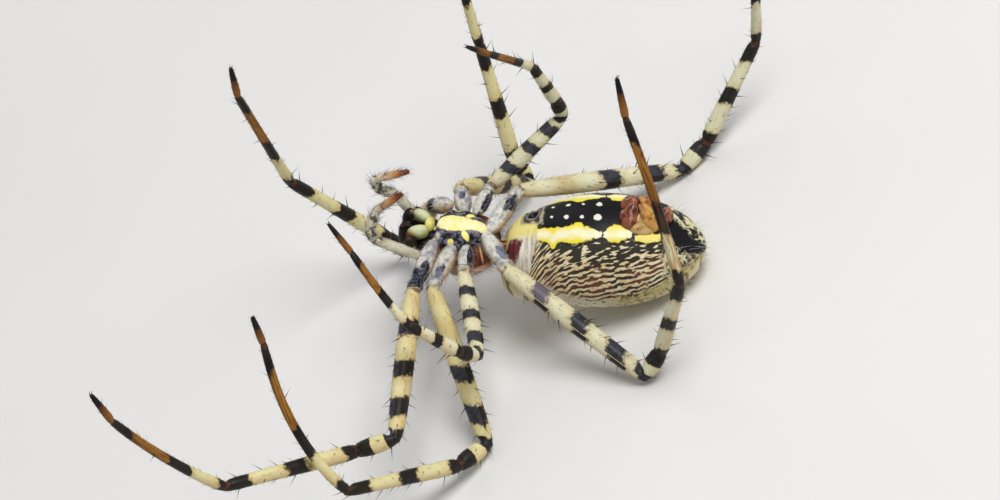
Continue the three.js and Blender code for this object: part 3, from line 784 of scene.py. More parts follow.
def abdomen_marks(s, place, yellow, cream, black, maroon):
    """Black underside with white dots, two yellow stripes, streaked flanks and a pale back.

    Angles are in degrees, and turns are counted from a midline that bends with the body.
    """
    ahead, left, up = s.parts(place)
    angle = left.math("ARCTAN2", up) * (180 / math.pi)
    midline = (ahead * ahead) * MIDLINE_BEND + MIDLINE_REST
    twist = midline * abs(angle).under(120, 50)
    turn = abs(angle - twist)
    broad = s.noise(place, 0.9, 2.0) - 0.5
    jag = s.noise(place, 3.4, 2.0) - 0.5
    mottle = s.noise(place, 2.0, 3.0, 0.6)

    # The flanks: cream streaks on black that lean more towards the front, and wavy lines below.
    leaning = turn - (ahead * 0.5).math("EXPONENT") * 8.0 + ahead * 1.2
    across = leaning * ARC
    streaks = s.noise(s.vector(across * 4.4, ahead * 1.5, 0.0), 1.0, 1.6)
    wave = s.noise(s.vector(ahead * 1.1, across * 0.5, 2.0), 1.0, 2.0) * 15.0
    lines = (across * (2 * math.pi / WAVE_LENGTH) + wave).math("SINE") * 0.16 + 0.5
    lower = turn.over(66, 22)
    inked = streaks * (lower * -0.55 + 1.0) + lines * lower * 0.55
    share = (turn - 50).least(14.0) * 0.0042
    flank_ink = (inked + share).under(0.57, 0.05)
    line_colour = s.mix(s.noise(place, 1.0, 2.0).over(0.5, 0.12) * lower, black, maroon)
    pale_flank = s.mix(mottle.over(0.52, 0.2) * turn.over(52, 20), cream, AbdomenTone.ochre)
    colour = s.mix(flank_ink * 0.96, pale_flank, line_colour)

    # The back: silvery, with thin dark lines from side to side, and a mottled rim.
    bars = (ahead * 5.6 + broad * 5.0 + abs(left) * 0.9).math("SINE").over(0.74, 0.3)
    pale_back = s.mix(s.noise(place, 1.3, 4.0).over(0.5, 0.5), AbdomenTone.back, AbdomenTone.back_yellow)
    back = s.mix(bars * 0.75, pale_back, AbdomenTone.back_bar)
    blotched = s.noise(place, 2.6, 4.0, 0.65).over(0.54, 0.16)
    olive = s.mix(blotched, AbdomenTone.olive, AbdomenTone.dark_olive)
    pale_rim = s.mix(s.noise(place, 2.6, 3.0).over(0.62, 0.1), AbdomenTone.rim, AbdomenTone.rim_spot)
    rim = s.mix(ahead.under(-0.6, 1.6), pale_rim, olive)
    colour = s.mix((turn + broad * 20.0).over(RIM_ANGLE, 7.0), colour, rim)
    colour = s.mix((turn + broad * 18.0).over(BACK_ANGLE, 10.0), colour, back)

    # The rear end: black in the middle, mottled cream and yellow beside it.
    rear = s.mix(mottle.over(0.52, 0.1), AbdomenTone.rear, black)
    off_middle = abs(angle - (ahead - REAR_TURN).least(0.0) * REAR_BEND - REAR_MIDDLE)
    rear = s.mix((off_middle + broad * 24.0 + (mottle - 0.5) * 80.0).under(REAR_HALF, 5.0), rear, black)
    colour = s.mix((ahead + jag * 0.9 + broad).under(FIELD[0], 0.3) * turn.under(100, 16.0), colour, rear)

    # The underside: a black field, its stripes and its dots.
    top = s.curve(ahead, STRIPE_TOP, *STRIPE_RANGE)
    low = s.curve(ahead, STRIPE_EDGE, *STRIPE_RANGE)
    field = ahead.within(*FIELD, 0.15)
    colour = s.mix(field * turn.under(low + 2.0, 4.0), colour, black)
    edge = turn + jag * 6.0 + angle.over(0.0, 10.0) * 2.5
    stripe = edge.over(top, 1.4) * edge.under(low, 1.4) * (ahead + jag * 0.3).within(*STRIPE_ENDS, 0.12)
    for spot, half, softness in STRIPE_GAPS:
        stripe = stripe * abs(ahead - spot + jag * 0.2).over(half, softness)
    # Painted highlight: the middle of each stripe is paler, almost white, and less so behind the rear gap.
    painted_highlight = abs(turn - (top + low) * 0.5).under(5.0, 6.0) * s.noise(place, 1.2, 2.0).over(0.36, 0.3)
    painted_highlight = painted_highlight * (ahead.over(STRIPE_GAPS[1][0], 0.2) * 0.7 + 0.3)
    colour = s.mix(stripe, colour, s.mix(painted_highlight * 0.95, yellow, AbdomenTone.stripe_middle))
    dots = None
    for spot, radius in DOTS:
        along, beside = ahead - spot + jag * 0.3, turn - DOT_ANGLE + broad * 5.0
        reach = s.reach(along * (1 / radius), beside * (ARC / radius), jag * 1.4)
        dot = (reach + angle.over(0.0, 8.0) * 0.24).under(1.0, 0.22)
        dots = dot if dots is None else dots.most(dot)
    colour = s.mix(dots, colour, AbdomenTone.dot)

    # The front: a cream rim, a maroon cover over each lung, and folded grey skin before the plate.
    wavy = ahead + jag * 0.25 - (turn - 40).most(0.0) * 0.01
    front = wavy.over(FRONT_EDGE, 0.12) * turn.under(RIM_ANGLE, 8.0)
    strokes = (ahead * 16.0 + broad * 6.0).math("SINE").over(0.1, 0.6)
    strokes = strokes * wavy.under(STROKES_END, 0.2) * turn.over(30, 14.0)
    cover = (turn + jag * 12.0).within(*COVER_TURN, 6.0) * wavy.within(*COVER_AHEAD, 0.12)
    pale = s.layers(
        AbdomenTone.front_yellow,
        ((turn - ahead * 6.0).over(12.0, 14.0), AbdomenTone.front),
        (wavy.over(FRONT_RIM, 0.3) * turn.under(105, 20.0), AbdomenTone.front_rim),
        (strokes * mottle.over(0.5, 0.5) * 0.8, AbdomenTone.stroke),
        (cover * (mottle.over(0.3, 0.3) * 0.4 + 0.6), AbdomenTone.cover),
    )
    folds = (turn - jag * 14.0).under(FOLDS_TURN, 7.0) * wavy.within(*FOLDS_AHEAD, 0.2)
    wrinkles = (ahead * 9.0 + mottle * 9.0).math("SINE").over(-0.2, 0.8)
    pit = s.reach(ahead - EPIGYNE["ahead"], left - EPIGYNE["left"], 0.0) + jag * 0.12
    plate = up.over(0.0, 0.1)
    colour = s.layers(
        colour,
        (front, pale),
        (folds, s.mix(wrinkles, AbdomenTone.fold, AbdomenTone.fold_dark)),
        (pit.under(PLATE_REACH, 0.1) * plate * 0.85, AbdomenTone.plate),
        (pit.within(*PLATE_RING, 0.08) * plate * 0.5, AbdomenTone.plate_ring),
        (pit.under(PLATE_HOLE, 0.1) * plate, AbdomenTone.plate_hole),
    )
    return colour, stripe.most(dots)


# ---- Front body markings ----
# Ahead and half width of the yellow of the breastplate, and ahead, aside and sizes of its spots.
PLATE_HALF = (
    (7.0, 0.1), (7.75, 0.14), (8.0, 0.28), (8.5, 0.42), (9.3, 0.5), (9.8, 0.6), (10.4, 0.68), (11.0, 0.6),
    (11.35, 0.48), (11.7, 0.2), (12.4, 0.1),
)
PLATE_RANGE = (7.0, 12.4, 2.0)
SPUR, SPOT = (9.42, 0.86, 0.29, 0.5), (10.38, 1.42, 0.22, 0.22)
FRONT_TUFT, TUFT_SIZE = (11.58, 1.02), (0.36, 0.3)
FACE_AHEAD, PLATE_RIM = 11.75, 1.3


class FrontTone:
    """Colours of the front body beside those that the user sets."""

    dark_streak, pale_streak, silk_shade = (0.04, 0.012, 0.007), (0.6, 0.34, 0.16), (0.16, 0.11, 0.07)
    hem, face, margin_grey = (0.55, 0.27, 0.18), (0.014, 0.01, 0.009), (0.2, 0.195, 0.26)
    tuft, lit = (0.85, 0.83, 0.72), (0.95, 0.93, 0.6)


def front_marks(s, place, yellow, black, brown, silver):
    """Yellow breastplate with blue-black margins, striped brown flanks and a silvery carapace."""
    ahead, left, up = s.parts(place)
    jag = s.noise(place, 3.0, 2.0) - 0.5
    side = abs(left)
    lengthwise, sideways = ahead * 0.4 - side * 0.9, ahead * 0.9 + side * 0.4
    streaks = s.noise(s.vector(sideways * 4.6, lengthwise * 0.4, up * 0.4), 1.0, 3.0, 0.6)
    flank = s.layers(
        FrontTone.dark_streak,
        (streaks.over(0.49, 0.1), brown),
        (streaks.over(0.61, 0.05), FrontTone.pale_streak),
        ((ahead + jag * 0.6).over(FACE_AHEAD, 0.4), FrontTone.face),
    )
    silk = s.mix(s.noise(place, 2.0, 4.0).over(0.48, 0.3), silver, FrontTone.silk_shade)
    hem = s.mix(up.under(-0.15, 0.3), FrontTone.hem, silk)
    plate = up.over(PLATE_RIM, 0.2)
    grey = s.noise(place, 3.0, 4.0, 0.65)

    def reach(ahead_at, side_at, ahead_size, side_size, lean=0.0):
        along, beside = ahead - ahead_at, side - side_at
        return s.reach((along + beside * lean) * (1 / ahead_size), (beside - along * lean) * (1 / side_size),
                       jag * 0.7)

    half = s.curve(ahead, PLATE_HALF, *PLATE_RANGE)
    middle = (side + jag * 0.3).under(half, 0.07)
    spur = reach(*SPUR, lean=1.0).under(1.0, 0.2)
    spot = reach(*SPOT).under(1.0, 0.25)
    tuft = reach(*FRONT_TUFT, *TUFT_SIZE).under(1.0, 0.5)
    lit = (grey + side * 0.25).under(0.62, 0.2)
    bright = middle.most(spur).most(spot) * plate
    return s.layers(
        flank,
        (up.under(0.15, 0.25), hem),
        (plate, s.mix(grey.over(0.53, 0.15), black, FrontTone.margin_grey)),
        (tuft * up.over(0.9, 0.3) * 0.9, FrontTone.tuft),
        (bright, s.mix(lit * 0.8, yellow, FrontTone.lit)),
    ), bright


# ---- Materials ----
MATERIALS = {}
WORN_TONE = (0.72, 0.6, 0.48)
BUMP_STRENGTH, COAT_ROUGHNESS = 0.7, 0.25
FLESH_RADIUS, FLESH_SCALE = (0.9, 0.5, 0.3), 0.25 * MM


def cuticle(name, fill, roughness=(0.42, 0.6), relief=0.02 * MM, coat=0.05, subsurface=0.08, specular=0.14):
    """A material of chitin skin. The fill gets its Shades and a place in millimetres, and returns a
    colour and a gloss from 0 to 1, which picks the roughness. The relief is in metres."""
    material = bpy.data.materials.new(name)
    material.use_nodes = True
    s = Shades(material.node_tree)
    place = s.out(s.node("ShaderNodeTexCoord"), "Object")
    fine = s.out(s.node("ShaderNodeVectorMath", {0: place, "Scale": 1 / MM}, operation="SCALE"))
    worn = s.group(bpy.data.node_groups["Cuticle Grain"], {"Place": fine})
    colour, gloss = fill(s, fine)
    height, tone = s.out(worn, "Height"), s.out(worn, "Tone")
    bump = s.node("ShaderNodeBump", {"Height": height, "Distance": relief, "Strength": BUMP_STRENGTH})
    low, high = roughness
    for socket, value in (
        ("Base Color", s.mix(tone.over(0.5, 0.7) * 0.4, colour, WORN_TONE, "MULTIPLY")),
        ("Roughness", gloss * (low - high) + (tone * 0.12 + (high - 0.06))),
        ("Normal", s.out(bump)),
        ("Coat Weight", coat),
        ("Coat Roughness", COAT_ROUGHNESS),
        ("Specular IOR Level", specular),
        ("Subsurface Weight", subsurface),
        ("Subsurface Radius", FLESH_RADIUS),
        ("Subsurface Scale", FLESH_SCALE),
    ):
        plug(s.tree, material.node_tree.nodes["Principled BSDF"].inputs[socket], value)
    MATERIALS[name] = material


def marks_fill(group, inputs):
    """The fill of a material that takes its colour from one of the marking groups."""
    def fill(s, fine):
        given = {"Place": s.attribute("place"), **inputs}
        if group == "Leg Marks":
            given |= {"Fine": fine, "Leg": s.attribute("leg")}
        made = s.group(bpy.data.node_groups[group], given)
        return s.out(made, "Color"), s.out(made, "Mask")
    return fill


def plain_fill(first, second, scale=2.2):
    """Two tones that run into each other."""
    def fill(s, fine):
        tone = s.noise(fine, scale, 4.0, 0.6)
        return s.mix(tone.over(0.5, 0.4), first, second), tone * 0.6
    return fill


class MouthTone:
    # pale is a painted highlight on the tops of the lobes.
    dark_olive, olive, pale, outer = (0.3, 0.35, 0.1), (0.46, 0.5, 0.2), (0.68, 0.72, 0.46), (0.3, 0.12, 0.03)
    foot = (0.02, 0.017, 0.015)


class SpinneretTone:
    dark_red, red = (0.1, 0.02, 0.018), (0.33, 0.1, 0.05)
    dark_gold, gold = (0.3, 0.1, 0.03), (0.66, 0.36, 0.09)
    mound, fold, tip = (0.72, 0.54, 0.24), (0.78, 0.5, 0.36), (0.2, 0.05, 0.03)


class PalpTone:
    dark_cream, cream, spot = (0.52, 0.47, 0.32), (0.74, 0.72, 0.6), (0.03, 0.025, 0.02)
    outer, red, tip = (0.58, 0.3, 0.11), (0.4, 0.13, 0.03), (0.14, 0.03, 0.012)


LENS_DARK, LENS_RIM = (0.008, 0.006, 0.006), (0.22, 0.1, 0.025)


def mouth_fill(s, fine):
    """Pale green lobes with a painted highlight on top, dark feet and orange-brown outer ends."""
    ahead, left, up = s.parts(s.attribute("place"))
    tone = s.noise(fine, 2.2, 4.0, 0.6)
    outer = (abs(left) + ahead * 0.5 + (tone - 0.5) * 0.5).over(7.62, 0.3)
    foot = (up + (tone - 0.5) * 0.6 - outer * 0.25).under(1.66, 0.35) * ahead.over(12.4, 0.2)
    return s.layers(
        MouthTone.dark_olive,
        (tone.over(0.5, 0.3), MouthTone.olive),
        # Painted highlight: the tops of the lobes are paler.
        ((up + (tone - 0.5) * 0.5).over(1.92, 0.3) * 0.85, MouthTone.pale),
        (outer * 0.9, MouthTone.outer),
        (foot * 0.95, MouthTone.foot),
    ), tone


def spinneret_fill(s, fine):
    """Dark red to orange skin with pale pink folds, after the height of each ring of skin."""
    station, back, orange = s.parts(s.attribute("place"))
    tone = s.noise(fine, 1.6, 3.0, 0.6)
    red = s.mix(tone.over(0.5, 0.14), SpinneretTone.dark_red, SpinneretTone.red)
    gold = s.mix(tone.over(0.46, 0.16), SpinneretTone.dark_gold, SpinneretTone.gold)
    folds = (back * 6.0 + tone * 7.0).math("SINE").over(0.88, 0.24) * station.over(0.4, 0.3)
    return s.layers(
        red,
        ((orange + (tone - 0.5) * 0.8).over(0.5, 0.3), gold),
        (orange.over(1.2, 0.2) * tone.over(0.46, 0.2), SpinneretTone.mound),
        (folds * 0.5, SpinneretTone.fold),
        (station.over(0.93, 0.06), SpinneretTone.tip),
    ), tone


def palp_fill(s, fine):
    """Cream with dark spots, and a red-brown tip."""
    station, *_ = s.parts(s.attribute("place"))
    tone = s.noise(fine, 1.6, 3.0)
    spots = s.noise(fine, 2.2, 3.0, 0.6).over(0.52, 0.06) * station.over(0.85, 0.15)
    return s.layers(
        PalpTone.dark_cream,
        (tone.over(0.5, 0.4), PalpTone.cream),
        (spots * 0.9, PalpTone.spot),
        ((station + (tone - 0.5) * 0.6).over(3.3, 0.5), PalpTone.outer),
        ((station + (tone - 0.5) * 0.2).over(3.62, 0.2), PalpTone.red),
        (station.over(3.78, 0.15), PalpTone.tip),
    ), tone


def eye_fill(s, fine):
    """Dark lens with an amber rim."""
    depth, *_ = s.parts(s.attribute("place"))
    return s.mix(depth.under(0.42, 0.12), LENS_DARK, LENS_RIM), s.noise(fine, 3.0) * 0.2 + 0.8


def build_groups():
    """The grain and the marking groups, with their sockets after the names of their inputs."""
    value, vector, colour = "Float", "Vector", "Color"
    shader_group("Cuticle Grain", [("Place", vector)], [("Height", value), ("Tone", value)], grain)
    for name, vectors, colours, fill in (
        ("Leg Marks", ("Place", "Fine", "Leg"), ("Cream", "Band", "Amber", "Tip"), leg_marks),
        ("Abdomen Marks", ("Place",), ("Yellow", "Cream", "Black", "Maroon"), abdomen_marks),
        ("Front Marks", ("Place",), ("Yellow", "Black", "Brown", "Silver"), front_marks),
    ):
        inputs = [(label, vector) for label in vectors] + [(label, colour) for label in colours]
        shader_group(name, inputs, [("Color", colour), ("Mask", value)], fill)


def build_materials(look):
    leg = marks_fill("Leg Marks", {
        "Cream": look.cream, "Band": look.black, "Amber": look.amber, "Tip": look.tip})
    abdomen = marks_fill("Abdomen Marks", {
        "Yellow": look.yellow, "Cream": look.flank_cream, "Black": look.black, "Maroon": look.maroon})
    front = marks_fill("Front Marks", {
        "Yellow": look.plate_yellow, "Black": look.black, "Brown": look.brown, "Silver": look.silver})
    cuticle("Leg Skin", leg)
    cuticle("Abdomen Skin", abdomen, (0.34, 0.52), 0.03 * MM, 0.08)
    cuticle("Front Skin", front, (0.36, 0.55), 0.03 * MM)
    cuticle("Leg Down", leg, coat=0.0, subsurface=0.0)
    cuticle("Abdomen Down", abdomen, coat=0.0, subsurface=0.0)
    cuticle("Mouth Skin", mouth_fill, (0.3, 0.5))
    cuticle("Labium Skin", plain_fill((0.56, 0.5, 0.08), (0.86, 0.82, 0.3), 1.4), (0.3, 0.5))
    cuticle("Spinneret Skin", spinneret_fill, (0.22, 0.42), 0.01 * MM, 0.3)
    cuticle("Palp Skin", palp_fill)
    cuticle("Eye Lens", eye_fill, (0.04, 0.2), 0.002 * MM, 1.0, 0.0)
    jaw, fang = ((0.006, 0.005, 0.005), (0.022, 0.013, 0.01)), ((0.02, 0.006, 0.004), (0.06, 0.014, 0.008))
    cuticle("Jaw Cuticle", plain_fill(*jaw), (0.36, 0.56), coat=0.1, subsurface=0.0)
    cuticle("Fang Cuticle", plain_fill(*fang), (0.12, 0.3), coat=0.6, subsurface=0.0)
    claw, bristle = ((0.02, 0.012, 0.01), (0.06, 0.025, 0.015)), ((0.012, 0.01, 0.012), (0.035, 0.02, 0.016))
    cuticle("Claw Cuticle", plain_fill(*claw), (0.2, 0.4), coat=0.5, subsurface=0.0)
    cuticle("Bristle", plain_fill(*bristle), (0.3, 0.5), 0.004 * MM, 0.3, 0.0)
    silver = plain_fill((0.72, 0.7, 0.66), (0.5, 0.46, 0.4))
    cuticle("Silver Down", silver, (0.4, 0.6), 0.004 * MM, 0.1, 0.0)


# ---- Coat ----
HAIR_SIDES, HAIR_ROWS, HAIR_TIP, HAIR_TAPER = 4, 4, 0.04, 0.5
HAIR_SUNK, HAIR_LOWEST = 0.02 * MM, 0.05 * MM
GUIDES = ("low", "tuft_unwrap", UNWRAP, "lie", "coat", "spines", "fringe", "silver", "bristly")
HAIR_NUMBERS = ("Density", "Spread", "Lean", "Bend", "Stray", "Spacing", "Length", "Thickness")
HAIRS = {
    # material, the field that says where it grows, most hairs to the square metre, spread of their
    # lengths, lean from upright, bend and stray, then spacing, length and thickness in millimetres
    "abdomen down": ("Abdomen Down", "coat", 7e6, 0.35, 1.05, 0.35, 0.25, 0.2, 0.3, 0.008),
    "abdomen fringe": ("Silver Down", "fringe", 9e6, 0.3, 0.4, 0.3, 0.25, 0.36, 0.9, 0.014),
    "spinneret down": ("Bristle", "coat", 30e6, 0.3, 0.7, 0.3, 0.2, 0.12, 0.16, 0.005),
    "front down": ("Silver Down", "coat", 60e6, 0.35, 1.15, 0.3, 0.3, 0.09, 0.42, 0.009),
    "front fringe": ("Silver Down", "fringe", 60e6, 0.35, 0.85, 0.3, 0.3, 0.12, 0.85, 0.012),
    "cheek bristles": ("Bristle", "bristly", 40e6, 0.35, 0.5, 0.3, 0.35, 0.12, 0.4, 0.009),
    "labium fringe": ("Bristle", "coat", 40e6, 0.3, 0.5, 0.3, 0.3, 0.13, 0.22, 0.006),
    "endite fringe": ("Bristle", "coat", 60e6, 0.3, 0.3, 0.3, 0.3, 0.1, 0.34, 0.009),
    "chelicera bristles": ("Bristle", "coat", 40e6, 0.4, 0.5, 0.4, 0.3, 0.1, 0.42, 0.01),
    "chelicera down": ("Silver Down", "coat", 12e6, 0.4, 0.9, 0.3, 0.3, 0.2, 0.34, 0.009),
    "palp bristles": ("Bristle", "coat", 24e6, 0.4, 0.75, 0.25, 0.25, 0.15, 0.62, 0.013),
    "palp down": ("Silver Down", "coat", 60e6, 0.3, 0.85, 0.3, 0.3, 0.1, 0.36, 0.009),
    # The settings give the sizes that are 0 in these three.
    "leg spines": ("Bristle", "spines", 3e6, 0.3, 0.55, 0.06, 0.2, 0, 0, 0),
    "leg down": ("Leg Down", "coat", 30e6, 0.35, 0.95, 0.3, 0.2, 0, 0, 0.009),
    "leg hairs": ("Bristle", "coat", 20e6, 0.35, 0.8, 0.3, 0.25, 0, 0, 0.012),
    "leg silver": ("Silver Down", "silver", 40e6, 0.35, 0.7, 0.3, 0.3, 0.2, 0.36, 0.01),
}


def coat_tree():
    """Geometry nodes that grow hairs or bristles all over a skin, and join them to one mesh.

    The skin's own attributes say where they grow (coat), which way they lie (lie) and, through
    the unwrap, which patch of the bake each one takes its colour from.
    """
    tree = bpy.data.node_groups.new("Coat", "GeometryNodeTree")
    tree.is_modifier = True
    tree.interface.new_socket("Geometry", in_out="INPUT", socket_type="NodeSocketGeometry")
    for label in HAIR_NUMBERS:
        tree.interface.new_socket(label, in_out="INPUT", socket_type="NodeSocketFloat")
    for label, kind in (("Seed", "Int"), ("Field", "String"), ("Material", "Material")):
        tree.interface.new_socket(label, in_out="INPUT", socket_type="NodeSocket" + kind)
    tree.interface.new_socket("Geometry", in_out="OUTPUT", socket_type="NodeSocketGeometry")

    def node(kind, inputs=(), **settings):
        made = tree.nodes.new(kind)
        for key, value in settings.items():
            setattr(made, key, value)
        for key, value in dict(inputs).items():
            if isinstance(value, bpy.types.NodeSocket):
                tree.links.new(value, made.inputs[key])
            else:
                made.inputs[key].default_value = value
        return made

    def vector_math(operation, *values, **keyed):
        made = node("ShaderNodeVectorMath", dict(enumerate(values)) | keyed, operation=operation)
        return made.outputs["Vector"]

    def scaled(vector, factor):
        return vector_math("SCALE", vector, Scale=factor)

    def math_of(operation, *values):
        return node("ShaderNodeMath", dict(enumerate(values)), operation=operation).outputs[0]

    def named(name, kind="FLOAT_VECTOR"):
        return node("GeometryNodeInputNamedAttribute", {"Name": name}, data_type=kind).outputs["Attribute"]

    def stored(geometry, name, value, kind, domain):
        return node("GeometryNodeStoreNamedAttribute", {"Geometry": geometry, "Name": name, "Value": value},
                    data_type=kind, domain=domain).outputs[0]

    # The roots, where each hair points and how long it is.
    given = node("NodeGroupInput").outputs
    roots = node("GeometryNodeDistributePointsOnFaces", {
        "Mesh": given["Geometry"], "Distance Min": given["Spacing"], "Density Max": given["Density"],
        "Density Factor": named(given["Field"], "FLOAT"), "Seed": given["Seed"]}, distribute_method="POISSON")
    lie = named("lie")
    stray = node("FunctionNodeRandomValue", {"Min": (-1, -1, -1), "Max": (1, 1, 1), "Seed": given["Seed"]},
                 data_type="FLOAT_VECTOR").outputs["Value"]
    upright = scaled(roots.outputs["Normal"], math_of("COSINE", given["Lean"]))
    laid = scaled(lie, math_of("SINE", given["Lean"]))
    leaning = vector_math("ADD", upright, laid)
    heading = vector_math("NORMALIZE", vector_math("ADD", leaning, scaled(stray, given["Stray"])))
    size = node("FunctionNodeRandomValue", {
        "Min": math_of("SUBTRACT", 1.0, given["Spread"]), "Max": math_of("ADD", 1.0, given["Spread"]),
        "Seed": math_of("ADD", given["Seed"], 1)}, data_type="FLOAT").outputs["Value"]

    # Hairs whose tips would reach the floor are left out.
    position = node("GeometryNodeInputPosition").outputs[0]
    reach = scaled(heading, math_of("MULTIPLY", given["Length"], size))
    tip_height = node("ShaderNodeSeparateXYZ", {0: vector_math("ADD", position, reach)}).outputs["Z"]
    too_low = node("FunctionNodeCompare", {"A": tip_height, "B": HAIR_LOWEST},
                   data_type="FLOAT", operation="LESS_THAN").outputs[0]
    kept = node("GeometryNodeDeleteGeometry", {
        "Geometry": stored(roots.outputs["Points"], "low", too_low, "BOOLEAN", "POINT"),
        "Selection": named("low", "BOOLEAN")}, domain="POINT")
    upright_turn = node("FunctionNodeAlignRotationToVector", {"Vector": heading}, axis="Z")
    turned = node("FunctionNodeAlignRotationToVector", {
        "Rotation": upright_turn.outputs[0], "Vector": lie}, axis="X", pivot_axis="Z")

    # One hair: a thin cone that tapers as it rises, and bends over.
    hair = node("GeometryNodeMeshCone", {
        "Vertices": HAIR_SIDES, "Side Segments": HAIR_ROWS, "Radius Top": HAIR_TIP, "Radius Bottom": 1.0,
        "Depth": 1.0}, fill_type="NGON")
    tuft = stored(hair.outputs["Mesh"], "tuft_unwrap", hair.outputs["UV Map"], "FLOAT2", "CORNER")
    height = node("ShaderNodeSeparateXYZ", {0: position}).outputs["Z"]
    square = math_of("MULTIPLY", height, height)
    taper = math_of("SUBTRACT", 1.0, math_of("MULTIPLY", square, HAIR_TAPER))
    thickness = math_of("MULTIPLY", given["Thickness"], taper)
    sizes = node("ShaderNodeCombineXYZ", {0: thickness, 1: thickness, 2: given["Length"]}).outputs[0]
    sideways = math_of("MULTIPLY", math_of("MULTIPLY", square, given["Bend"]), given["Length"])
    shift = node("ShaderNodeCombineXYZ", {0: sideways, 2: -HAIR_SUNK}).outputs[0]
    bent = vector_math("ADD", vector_math("MULTIPLY", position, sizes), shift)
    curved = node("GeometryNodeSetPosition", {"Geometry": tuft, "Position": bent})
    placed = node("GeometryNodeInstanceOnPoints", {
        "Points": kept.outputs[0], "Instance": curved.outputs[0], "Rotation": turned.outputs[0],
        "Scale": scaled((1.0, 1.0, 1.0), size)})
    real = node("GeometryNodeRealizeInstances", {"Geometry": placed.outputs[0]})
    patch = vector_math("ADD", scaled(named(UNWRAP), 1 - PATCH), scaled(named("tuft_unwrap"), PATCH))
    baked = stored(real.outputs[0], "OFBake", patch, "FLOAT2", "CORNER")
    finished = node("GeometryNodeSetMaterial", {"Geometry": baked, "Material": given["Material"]})
    tree.links.new(finished.outputs[0], node("NodeGroupOutput").inputs["Geometry"])


def grow(skin, part, kind, seed=SEED, **sizes):
    """One kind of hair on a skin, as a piece of its own. The sizes are in metres."""
    name = f"{part}_{kind}"
    material, field, *numbers = HAIRS[f"{part.split('_')[0]} {kind}"]
    host = new_object(name + "_host", skin.data)
    modifier = host.modifiers.new("Coat", "NODES")
    modifier.node_group = bpy.data.node_groups["Coat"]
    values = dict(zip(HAIR_NUMBERS, numbers[:-3] + [size * MM for size in numbers[-3:]]))
    values |= {"Seed": seed, "Field": field, "Material": MATERIALS[material], **sizes}
    for item in modifier.node_group.interface.items_tree:
        if item.item_type == "SOCKET" and item.name in values:
            modifier[item.identifier] = values[item.name]
    depsgraph = bpy.context.evaluated_depsgraph_get()
    mesh = bpy.data.meshes.new_from_object(host.evaluated_get(depsgraph))
    mesh.name = name
    bpy.data.objects.remove(host)
    for attribute in GUIDES:
        if attribute in mesh.attributes:
            mesh.attributes.remove(mesh.attributes[attribute])
    if not mesh.polygons:
        raise RuntimeError(f"no hair grew on {skin.name}")
    settle(name, mesh)


# ---- Settings ----
def colour_setting(name, description, default):
    return bpy.props.FloatVectorProperty(
        name=name, description=description, default=default, size=3, min=0, max=1, subtype="COLOR")


def length_setting(name, description, default):
    return bpy.props.FloatProperty(name=name, description=description, default=default, min=0, unit="LENGTH")


def angle_setting(name, description, degrees):
    return bpy.props.FloatProperty(
        name=name, description=description, default=math.radians(degrees), subtype="ANGLE")


class OrbWeaverLook(bpy.types.PropertyGroup):
    """Colours of the skin and the coat."""

    cream: colour_setting("Leg cream", "Ground colour of the legs", (0.75, 0.69, 0.35))
    black: colour_setting("Black", "Bands of the legs and fields of the body", (0.007, 0.007, 0.009))
    amber: colour_setting("Amber", "Outer stretch of each metatarsus", (0.36, 0.165, 0.025))
    tip: colour_setting("Tip", "Tarsus", (0.25, 0.1, 0.02))
    yellow: colour_setting("Stripe yellow", "Stripes under the abdomen", (0.92, 0.78, 0.06))
    flank_cream: colour_setting("Flank cream", "Pale streaks of the abdomen's flanks", (0.85, 0.76, 0.5))
    maroon: colour_setting("Maroon", "Wavy lines of the abdomen's flanks", (0.13, 0.035, 0.03))
    plate_yellow: colour_setting("Plate yellow", "Middle of the breastplate", (0.93, 0.84, 0.22))
    brown: colour_setting("Brown", "Flanks of the front body", (0.17, 0.055, 0.024))
    silver: colour_setting("Silver", "Down on the carapace", (0.62, 0.6, 0.55))


class OrbWeaverCoat(bpy.types.PropertyGroup):
    """Sizes of the hairs, bristles, claws and eyes."""

    spine_length: length_setting("Spine length", "Length of the leg spines", 0.85 * MM)
    spine_thickness: length_setting("Spine thickness", "Radius of a leg spine at its root", 0.034 * MM)
    spine_spacing: length_setting("Spine spacing", "Least distance between two leg spines", 0.85 * MM)
    down_length: length_setting("Down length", "Length of the fine hairs of the legs", 0.3 * MM)
    down_spacing: length_setting("Down spacing", "Least distance between two fine hairs", 0.17 * MM)
    hair_length: length_setting("Hair length", "Length of the dark hairs between the spines", 0.48 * MM)
    hair_spacing: length_setting("Hair spacing", "Least distance between two dark hairs", 0.32 * MM)
    claw_length: length_setting("Claw length", "Length of a claw along its curve", 0.42 * MM)
    eye_radius: length_setting("Eye radius", "Radius of the largest eyes", 0.17 * MM)


class OrbWeaverStage(bpy.types.PropertyGroup):
    """Camera, lights and floor."""

    azimuth: angle_setting("Azimuth", "Turn of the camera round the model", 32.89)
    elevation: angle_setting("Elevation", "Height of the camera over the horizon", 43.07)
    roll: angle_setting("Roll", "Turn of the camera about its own line of sight", 37.17)
    distance: length_setting("Distance", "From the camera to its target", 300 * MM)
    lens: bpy.props.FloatProperty(name="Lens", description="Focal length in mm", default=156.6, min=1)
    floor_radius: length_setting("Floor radius", "Radius of the round floor", 1.2)


class OrbWeaverSettings(bpy.types.PropertyGroup):
    """All settings of the model."""

    look: bpy.props.PointerProperty(type=OrbWeaverLook)
    coat: bpy.props.PointerProperty(type=OrbWeaverCoat)
    stage: bpy.props.PointerProperty(type=OrbWeaverStage)


